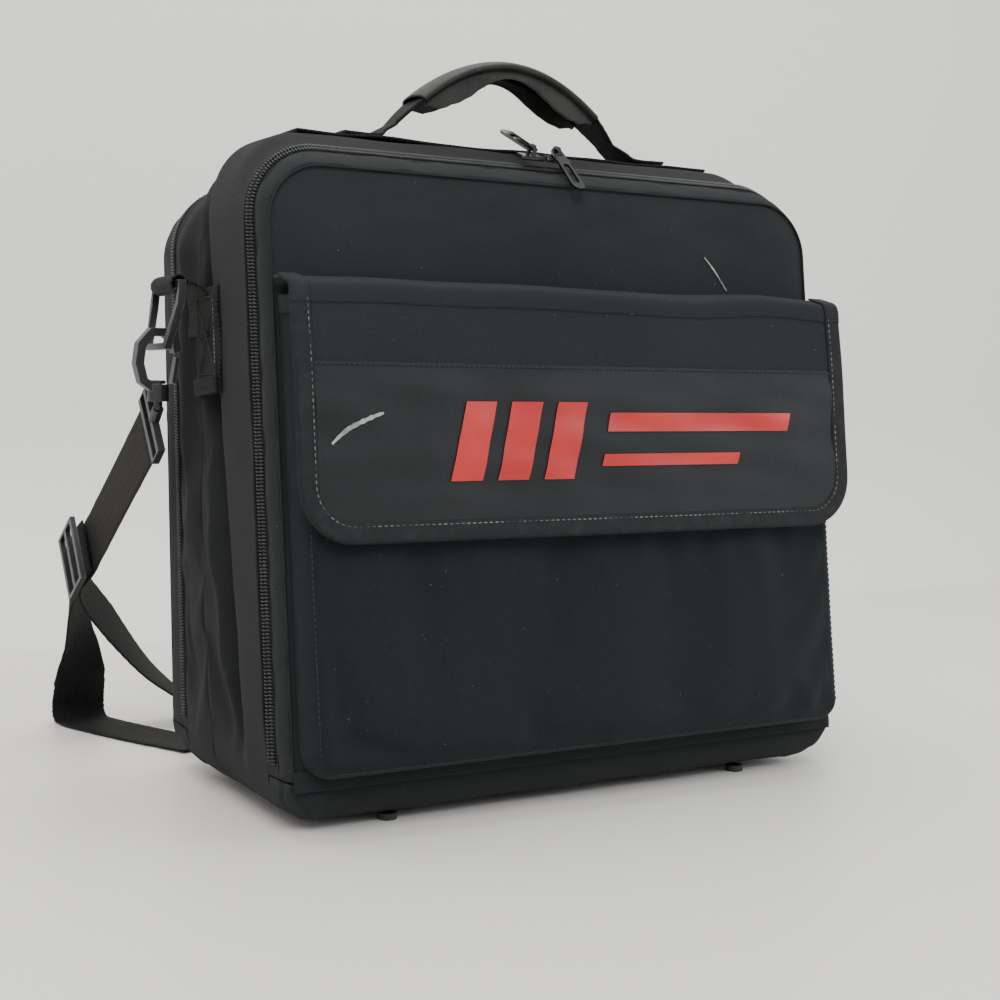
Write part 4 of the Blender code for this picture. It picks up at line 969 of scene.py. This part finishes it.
def build_flap():
    grid = plate_grid(FLAP_HALF - 0.0012, FLAP_LOW + 0.0012, FOLD_Z, FLAP_RADIUS, 0.001, 150, 80, 1.4)
    x, z, _ = grid
    shell = plate("flap_cloth", grid, FLAP_FACE - flap_out(x, z), FLAP, 0.0018)
    inner = BINDING - 0.0006
    radius = FLAP_RADIUS - inner
    grid = plate_grid(FLAP_HALF - inner, FLAP_LOW + inner, FLAP_SEAM, radius, 0.001, 170, 70, 1.4)
    x, z, _ = grid
    panel = plate("flap_satin", grid, FLAP_FACE - flap_out(x, z) - satin_out(x, z) - 0.0005, SATIN, 0.0004)
    edge = flap_line(-0.0002)
    inside = flap_line(BINDING)
    rows = [on_flap(inside, -0.0024), on_flap(edge, -0.0024)]
    bulge = on_flap(flap_line(-0.0010), -0.0008)
    rows += [bulge, on_flap(edge, 0.0009), on_flap(flap_line(0.002), 0.0013)]
    rows += [on_flap(flap_line(BINDING - 0.001), 0.0013), on_flap(inside, 0.0006)]
    tape = sheet("flap_tape", placed(rows), TAPE, 0.0003)
    pieces = [(shell, "canvas", "flap_shell"), (panel, "satin_nylon", "flap_print_panel"),
              (tape, "binding_tape", "flap_binding")]
    for piece, slot, node in pieces:
        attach(piece, "pocket_flap")
        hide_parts(node)
    worn = stitches("flap_tape_stitches", placed(on_flap(flap_line(BINDING - 0.0022), 0.0014)), (0, -1, 0),
                    0.0036, 0.0022, 0.00038, WORN_THREAD)
    xs = np.linspace(-FLAP_HALF + BINDING, FLAP_HALF - BINDING, 120)
    seam_line = placed(on_flap(np.stack([xs, np.full(120, FLAP_SEAM - 0.0016)], axis=1), 0.0010))
    seam = stitches("flap_panel_stitches", seam_line, (0, -1, 0), 0.0032, 0.0022, 0.00034, THREAD)
    marks = [bar_mark(f"mark_bar_{k}", (-0.100 + 0.030 * k, -0.080 + 0.030 * k, 0.192, 0.236, 0.012))
             for k in range(3)]
    marks += [bar_mark("mark_line_upper", (0.005, 0.140, 0.219, 0.230, 0.003), 40)]
    marks += [bar_mark("mark_line_lower", (0.000, 0.100, 0.199, 0.206, 0.002), 40)]
    for piece, slot in [(worn, "binding_tape"), (seam, "canvas")] + [(m, "satin_nylon") for m in marks]:
        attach(piece, "pocket_flap")


def build_flap_fold():
    """The cloth from its seam on the panel, over the pocket's mouth and into the flap."""
    x = np.linspace(-1, 1, 120) * (FLAP_HALF - 0.0008)
    profile = [(FRONT_Y - 0.0040, FLAP_TOP + 0.0010), (FRONT_Y - 0.014, FLAP_TOP + 0.0010)]
    profile += [(FRONT_Y - 0.022, FLAP_TOP - 0.0010), (FLAP_FACE + 0.0012, FOLD_Z + 0.0050)]
    profile += [(FLAP_FACE - 0.0006, FOLD_Z + 0.0005), (FLAP_FACE - 0.0006, FOLD_Z - 0.0060)]
    rows = []
    for y, z in resampled(smoothed(profile), 26):
        hang = 0.0012 * ripples(x, z * 0 + x * 0, 71, 0.09)
        rows.append(np.stack([x, np.full_like(x, y), z + hang * eased((FRONT_Y - y) / 0.02)], axis=1))
    piece = sheet("flap_fold", placed(rows), FLAP, 0.0016, True)
    edges = []
    for side_name, side in SIDES:
        line = resampled(smoothed(profile[1:]), 24)
        slope = np.gradient(line, axis=0)
        out = unit(np.stack([slope[:, 1], -slope[:, 0]], axis=1))
        strips = []
        for x_edge, proud in ((FLAP_HALF + 0.0006, -0.0014), (FLAP_HALF + 0.0010, 0.0002),
                              (FLAP_HALF - 0.0004, 0.0012), (FLAP_HALF - BINDING + 0.001, 0.0012),
                              (FLAP_HALF - BINDING, 0.0003)):
            strips.append(np.stack([np.full(len(line), side * x_edge), line[:, 0] + out[:, 0] * proud,
                                    line[:, 1] + out[:, 1] * proud], axis=1))
        edges.append(sheet(f"flap_fold_tape_{side_name}", placed(strips), TAPE, 0.0003, side > 0))
    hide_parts("flap_hinge_strip")
    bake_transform(piece)
    for edge in edges:
        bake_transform(edge)


def hinge_cloth(name, y, inward):
    """The strip of cloth that a lid hangs from."""
    x = np.linspace(-1, 1, 120) * (HALF - 0.0042)
    rows = []
    for z in np.linspace(HINGE_Z - 0.005, HINGE_Z + 0.007, 12):
        out = 0.0009 + 0.0006 * cos((z - HINGE_Z) / 0.006 * pi / 2)
        rows.append(np.stack([x, np.full_like(x, y - inward * out), np.full_like(x, z)], axis=1))
    piece = sheet(name, placed(rows), CANVAS, 0.0010, inward < 0)
    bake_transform(piece)


def scuff(name, points, wide, body, out):
    """A chalky streak along (x, z) points, thinner at its ends."""
    line = smoothed(points, 12)
    path = placed(np.stack([line[:, 0], out(line[:, 0], line[:, 1]), line[:, 1]], axis=1))
    taper = wide * (0.25 + 0.75 * np.sin(np.linspace(0.15, pi - 0.15, len(path))) ** 0.7)
    across = np.gradient(path, axis=0)[:, [2, 1, 0]] * (1, 0, -1)
    ragged = taper * (1 + 0.25 * ripples(path[:, 0], path[:, 2], 91, 0.004))
    streak = ribbon(name, path, unit(across), ragged, 0.0002, CHALK)
    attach(streak, body)


def build_scuffs():
    scuff("flap_scuff", SCUFF_FLAP, 0.0026, "pocket_flap",
          lambda x, z: FLAP_FACE - flap_out(x, z) - satin_out(x, z) - 0.0008)
    scuff("panel_scuff", SCUFF_PANEL, 0.0010, "front_lid",
          lambda x, z: np.full_like(x, FRONT_Y + 0.0016 - 0.0038))


# ---- Handle ---------------------------------------------------------------------------

HANDLE_TOP_Y = float(placed([0, HANDLE_Y, HEIGHT])[1])
HANDLE_ROOT_Z = HEIGHT + CROWN + HANDLE_AXIS_UP - FOOT_HEIGHT


def handle_line(half_arc, count=90):
    a = np.radians(np.linspace(-half_arc, half_arc, count))
    z = HANDLE_ROOT_Z + HANDLE_RISE * np.clip(np.cos(a), 0, 1) ** HANDLE_FULLNESS
    return np.stack([HANDLE_HALF * np.sin(a), np.full(count, HANDLE_TOP_Y), z], axis=1)


def build_handle():
    path = handle_line(88)
    share = np.clip((path[:, 2] - HANDLE_ROOT_Z) / HANDLE_GATHER_HIGH, 0, 1)
    core = ribbon("handle_core", path, (0, 1, 0), 0.017 + 0.0104 * share, 0.0026, WEB, 0.02)
    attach(core, "handle")
    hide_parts("handle_webbing")
    grip = handle_line(GRIP_HALF_ARC, 150)
    along = np.gradient(grip, axis=0)
    along /= np.linalg.norm(along, axis=1)[:, None]
    up = np.cross(along, np.array([0, 1.0, 0]))
    s = np.linspace(-1, 1, 150)
    rows = []
    for side_angle in np.linspace(-1, 1, 81):
        depth = 0.0030 + 0.0085 * np.exp(-((np.abs(s) - 0.60) ** 2) / (2 * 0.26**2))
        depth *= np.clip((1.02 - np.abs(s)) / 0.14, 0.30, 1)
        t = abs(side_angle)
        turn = min(t / 0.5, 1) * 0.72 * pi
        hang = max(t - 0.5, 0) / 0.5
        torn = 0.05 * ripples(s * 0.07, s * 0 + np.sign(side_angle), 81, 0.009)
        across = np.sign(side_angle) * (0.0152 * sin(turn) + 0.0008 * sin(hang * pi / 2))
        down = hang * depth * (1 + torn * hang)
        point = grip + up * (0.0048 * cos(turn) - down)[:, None]
        point[:, 1] += across
        rows.append(point)
    wrap = sheet("grip_wrap", np.array(rows), VINYL, 0.0016, False)
    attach(wrap, "handle")
    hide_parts("handle_grip")
    count = 200
    x = np.linspace(-0.148, 0.148, count)
    strip_z = np.full(count, HEIGHT + 0.0014) + 0.0008 * ripples(x, x * 0, 83, 0.05)
    base = placed(np.stack([x, np.full(count, HANDLE_Y), strip_z], axis=1))
    strip = ribbon("base_strip", base, (0, 1, 0), WEBBING, 0.0022, WEB, 0.02)
    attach(strip, "case")
    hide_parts("handle_base_webbing")
    for side_name, side in SIDES:
        arch = handle_line(88)
        root, above = (arch[0], arch[4]) if side < 0 else (arch[-1], arch[-5])
        foot_z = base[0, 2] + 0.0022
        turn = [above, root]
        for out, height in ((0.0075, 0.0040), (0.0140, 0), (0.0360, 0)):
            turn.append((side * (HANDLE_HALF + out), HANDLE_TOP_Y, foot_z + height))
        line = smoothed(turn, 7)
        low = np.clip((line[:, 2] - foot_z) / 0.010, 0, 1)
        leg = ribbon(f"handle_leg_{side_name}", line, (0, 1, 0), 0.030 - 0.0125 * low, 0.0024, WEB, 0.02)
        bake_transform(leg)


# ---- Side hardware and strap ----------------------------------------------------------


def build_side(side_name, side):
    low, high, patch_y = 0.238, 0.300, -0.008
    count = 50
    z = np.linspace(high, low, count)
    out = HALF + 0.0024 + 0.0008 * np.sin(np.linspace(0, 9, count))
    path = placed(np.stack([side * out, np.full(count, patch_y), z], axis=1))
    patch = ribbon(f"side_patch_{side_name}_cloth", path, (0, 1, 0), WEBBING, 0.0024, WEB, 0.02)
    tail = placed(np.stack([side * (out[-9:] + 0.0022), np.full(9, patch_y), z[-9:]], axis=1))
    hem = ribbon(f"side_patch_{side_name}_hem", tail, (0, 1, 0), WEBBING * 0.98, 0.0026, WEB, 0.02)
    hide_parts(f"side_patch_{side_name}")
    rows = []
    inset, far = WEBBING / 2 - 0.004, WEBBING / 2
    corners = ((-inset, high - 0.005), (inset, high - 0.005), (inset, low + 0.012), (-inset, low + 0.012))
    pairs = [(corners[k], corners[(k + 1) % 4]) for k in range(4)]
    pairs += [(corners[0], corners[2]), (corners[1], corners[3])]
    for k, (a, b) in enumerate(pairs):
        y = np.linspace(a[0], b[0], 16) + patch_y
        zz = np.linspace(a[1], b[1], 16)
        line = placed(np.stack([np.full(16, side * (HALF + 0.0044)), y, zz], axis=1))
        thread = WORN_THREAD if k == 3 else THREAD
        rows.append(stitches(f"side_box_{side_name}_{k}", line, (side, 0, 0), 0.0024, 0.0019, 0.0004, thread))
    box = joined(f"side_stitches_{side_name}", *rows)
    for piece in (patch, hem, box):
        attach(piece, "case")
    lo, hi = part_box(f"ring_keeper_{side_name}")
    ring_x, keeper_y, ring_z = side * 0.2130, 0.031, 0.302 - FOOT_HEIGHT
    root_x = HALF + 0.0033
    path = [(side * root_x, keeper_y, ring_z - 0.030), (side * (root_x + 0.0006), keeper_y, ring_z - 0.006)]
    for angle in (150, 110, 70, 30, -10, -50, -95):
        a = radians(angle)
        path.append((ring_x + side * 0.0048 * cos(a), keeper_y, ring_z + 0.0048 * sin(a)))
    keeper = ribbon(f"keeper_{side_name}", smoothed(path), (0, 1, 0), (hi.y - lo.y) * 0.98, 0.0019, WEB, 0.02)
    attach(keeper, "case")
    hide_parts(f"ring_keeper_{side_name}")


STRAP_DOWN = np.array([0.0, 0.816244, -0.577708])
ACROSS = np.array([0.0, -0.577708, -0.816244])
GLIDE = np.array([-0.2240, 0.1770, 0.1280])
EYE = np.array([0.2200, 0.0480, 0.2165])


def strap(name, stations, node):
    points = np.array([p for p, _ in stations], float)
    sides = np.array([s for _, s in stations], float)
    sides /= np.linalg.norm(sides, axis=1)[:, None]
    path, turned = smoothed(points, 14), []
    for i in range(len(points) - 1):
        for t in np.arange(14) / 14:
            turned.append(sides[i] * (1 - t) + sides[i + 1] * t)
    turned.append(sides[-1])
    path[:, 2] = np.maximum(path[:, 2], 0.0016)
    path[:, 2] -= FOOT_HEIGHT
    piece = ribbon(name, path, turned, WEBBING, 0.0019, WEB, 0.018)
    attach(piece, "case")
    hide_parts(node)


def build_strap():
    left = EYE * (-1, 1, 1) + STRAP_DOWN * 0.004
    right = EYE + STRAP_DOWN * 0.004
    along = (GLIDE - left) / np.linalg.norm(GLIDE - left)
    far = GLIDE * (-1, 1, 1)
    strap("strap_run", [
        (left, ACROSS), (GLIDE - along * 0.020, ACROSS), (GLIDE + along * 0.022, ACROSS),
        ((-0.196, 0.216, 0.078), (-0.35, -0.80, -0.45)), ((-0.160, 0.226, 0.036), (-0.30, -0.93, -0.15)),
        ((-0.118, 0.222, 0.0070), (-0.10, -0.99, -0.02)), ((-0.070, 0.216, 0.0016), (0, -1, 0)),
        ((0.070, 0.216, 0.0016), (0, -1, 0)), ((0.120, 0.222, 0.0070), (0.10, -0.99, -0.02)),
        ((0.164, 0.226, 0.038), (0.30, -0.90, -0.30)), ((0.204, 0.206, 0.088), (0.20, -0.70, -0.65)),
        (right + (far - right) * 0.55, ACROSS), (right, ACROSS)], "shoulder_strap")
    offset = np.array([-0.0032, 0, 0])
    strap("strap_end", [
        (GLIDE - along * 0.018 + offset, ACROSS), (GLIDE + along * 0.026 + offset, ACROSS),
        ((-0.214, 0.236, 0.070), (-0.60, -0.60, -0.52)), ((-0.206, 0.258, 0.0340), (-0.95, -0.10, -0.12)),
        ((-0.204, 0.270, 0.0130), (-1, 0, 0)), ((-0.204, 0.264, 0.0025), (-1, 0, 0)),
        ((-0.200, 0.244, 0.0016), (-1, -0.10, 0)), ((-0.180, 0.190, 0.0016), (-0.95, -0.30, 0)),
        ((-0.155, 0.135, 0.0016), (-0.92, -0.38, 0))], "strap_tail")


def dress_cad(names, look, width=0.0005, segments=3):
    """Finishes hard parts that keep their own shape: a material and softened edges."""
    for name in names:
        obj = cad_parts[name]
        obj.data.materials.clear()
        obj.data.materials.append(look)
        soft = obj.modifiers.new("soft_edges", "BEVEL")
        soft.width = width
        soft.segments = segments
        soft.limit_method = "ANGLE"
        soft.angle_limit = radians(28)


# ---- Stage ----------------------------------------------------------------------------


def build_stage():
    """A pale floor, and a wall behind the case that is only seen from the front."""
    wall_y, cove, wall_high, wide = 0.80, 0.22, 2.6, 6.0
    s = Shader("stage_pale", 0.45)
    s.out.inputs["Base Color"].default_value = (0.80, 0.785, 0.755, 1)
    x = np.linspace(-wide, wide, 9)
    rows = [np.stack([x, np.full(9, y), np.full(9, -FOOT_HEIGHT)], axis=1) for y in (-wide, wide)]
    sheet("stage_floor", np.array(rows), s.material)
    wall = Shader("stage_wall", 0.6)
    wall.out.inputs["Base Color"].default_value = (0.84, 0.83, 0.80, 1)
    clear = wall.add("ShaderNodeBsdfTransparent").outputs[0]
    behind = wall.add("ShaderNodeNewGeometry").outputs["Backfacing"]
    mixed = wall.add("ShaderNodeMixShader", {0: behind, 1: wall.out.outputs[0], 2: clear})
    output = wall.tree.nodes["Material Output"]
    wall.tree.links.new(mixed.outputs[0], output.inputs["Surface"])
    turns = np.linspace(0, pi / 2, 16)
    profile = [(wall_y + cove * (sin(a) - 1), cove * (1 - cos(a)) + 0.0004) for a in turns]
    profile.append((wall_y, wall_high))
    rows = [np.stack([x, np.full(9, y), np.full(9, z - FOOT_HEIGHT)], axis=1) for y, z in profile]
    sheet("stage_wall", np.array(rows), wall.material)


def light(name, place, target, size, power, colour=(1, 1, 1)):
    data = bpy.data.lights.new(name, "AREA")
    data.shape = "DISK"
    data.size = size
    data.energy = power
    data.color = colour
    obj = bpy.data.objects.new(name, data)
    obj.location = place
    obj.rotation_euler = (Vector(target) - Vector(place)).to_track_quat("-Z", "Y").to_euler()
    bpy.context.scene.collection.objects.link(obj)


def build_light_and_camera():
    light("key", (-0.9, -1.5, 1.9), (0, 0, 0.2), 1.4, 40, (1.0, 0.985, 0.96))
    light("fill", (1.7, -1.3, 1.1), (0, 0, 0.2), 1.6, 17, (0.96, 0.98, 1.0))
    light("top", (0.1, 0.3, 2.1), (0, 0, 0.2), 1.4, 22)
    world = bpy.data.worlds.new("soft_room")
    bpy.context.scene.world = world
    world.use_nodes = True
    world.node_tree.nodes["Background"].inputs[0].default_value = (0.93, 0.94, 0.96, 1)
    world.node_tree.nodes["Background"].inputs[1].default_value = 0.78
    yaw, pitch, turn = radians(30.1), radians(3.78), radians(0.54)
    ahead = Vector((sin(yaw) * cos(pitch), cos(yaw) * cos(pitch), -sin(pitch)))
    right = Vector((cos(yaw), -sin(yaw), 0))
    above = right.cross(ahead)
    x_axis = right * cos(turn) + above * sin(turn)
    y_axis = above * cos(turn) - right * sin(turn)
    data = bpy.data.cameras.new("camera")
    data.sensor_width = 36
    data.lens = 56.95
    camera = bpy.data.objects.new("camera", data)
    axes = Matrix((x_axis, y_axis, -ahead)).transposed().to_4x4()
    camera.matrix_world = Matrix.Translation((-0.5123, -0.8743, 0.2354)) @ axes
    bpy.context.scene.collection.objects.link(camera)
    bpy.context.scene.camera = camera


# ---- All of it ------------------------------------------------------------------------

build_gusset()
build_step()
build_rear_walls()
roll("front_roll", FRONT_Y, GUSSET_FRONT_Y - 0.0003, "front_sill", CANVAS)
roll("rear_roll", REAR_Y, REAR_ZIP_Y - ZIP_HALF - 0.0003, "rear_sill", CANVAS)
build_zippers()
edge_band("front_edge", "front_band", "front_lid", FRONT_Y + 0.0006, MAIN_ZIP_Y - ZIP_HALF)
edge_band("rear_edge", "rear_band", "rear_lid", REAR_Y - 0.0006, REAR_ZIP_Y + ZIP_HALF, True)
panel_seam("front_seam", "front_lid", FRONT_Y - 0.0002, INSET_SIDE, INSET_TOP, 0.0)
panel_seam("rear_seam", "rear_lid", REAR_Y + 0.0002, INSET_SIDE, REAR_INSET_TOP, REAR_DROP)
panel_face("front_face", ["front_panel"], "front_lid", FRONT_Y + 0.0016, 1, INSET_TOP, 0.0)
panel_face("rear_face", ["rear_panel"], "rear_lid", REAR_Y - 0.0016, -1, REAR_INSET_TOP, REAR_DROP)
padding("front_lid_padding", ["front_panel_foam", "front_panel_lining"], "front_lid",
        FRONT_Y + 0.002, 1, INSET_TOP, 0.0)
padding("rear_lid_padding", ["rear_panel_foam", "rear_panel_lining"], "rear_lid",
        REAR_Y - 0.002, -1, REAR_INSET_TOP, REAR_DROP)
build_pocket()
build_flap()
build_flap_fold()
build_scuffs()
hinge_cloth("front_hinge_cloth", FRONT_Y, 1)
hinge_cloth("rear_hinge_cloth", REAR_Y, -1)
build_handle()
for side_name, side in SIDES:
    build_side(side_name, side)
build_strap()

plastic_parts = [f"{part}_{s}" for part in ("ring", "snap_hook", "hook_gate", "strap_eye") for s, _ in SIDES]
dress_cad(plastic_parts + ["tri_glide"], PLASTIC, 0.0006)
metal_parts = [f"{group}_{part}_{s}"
               for group in ("main", "rear") for part in ("slider", "pull") for s, _ in SIDES]
dress_cad(metal_parts, ENAMEL, 0.0003)
dress_cad([f"foot_{row}_{s}" for row in ("front", "rear") for s, _ in SIDES], RUBBER, 0.0006)
dress_cad(["pocket_loop_strip", "flap_hook_strip"], HOOK_TAPE, 0.0003, 1)
dress_cad(["bottom_board"], BOARD, 0.0006)

build_stage()
build_light_and_camera()
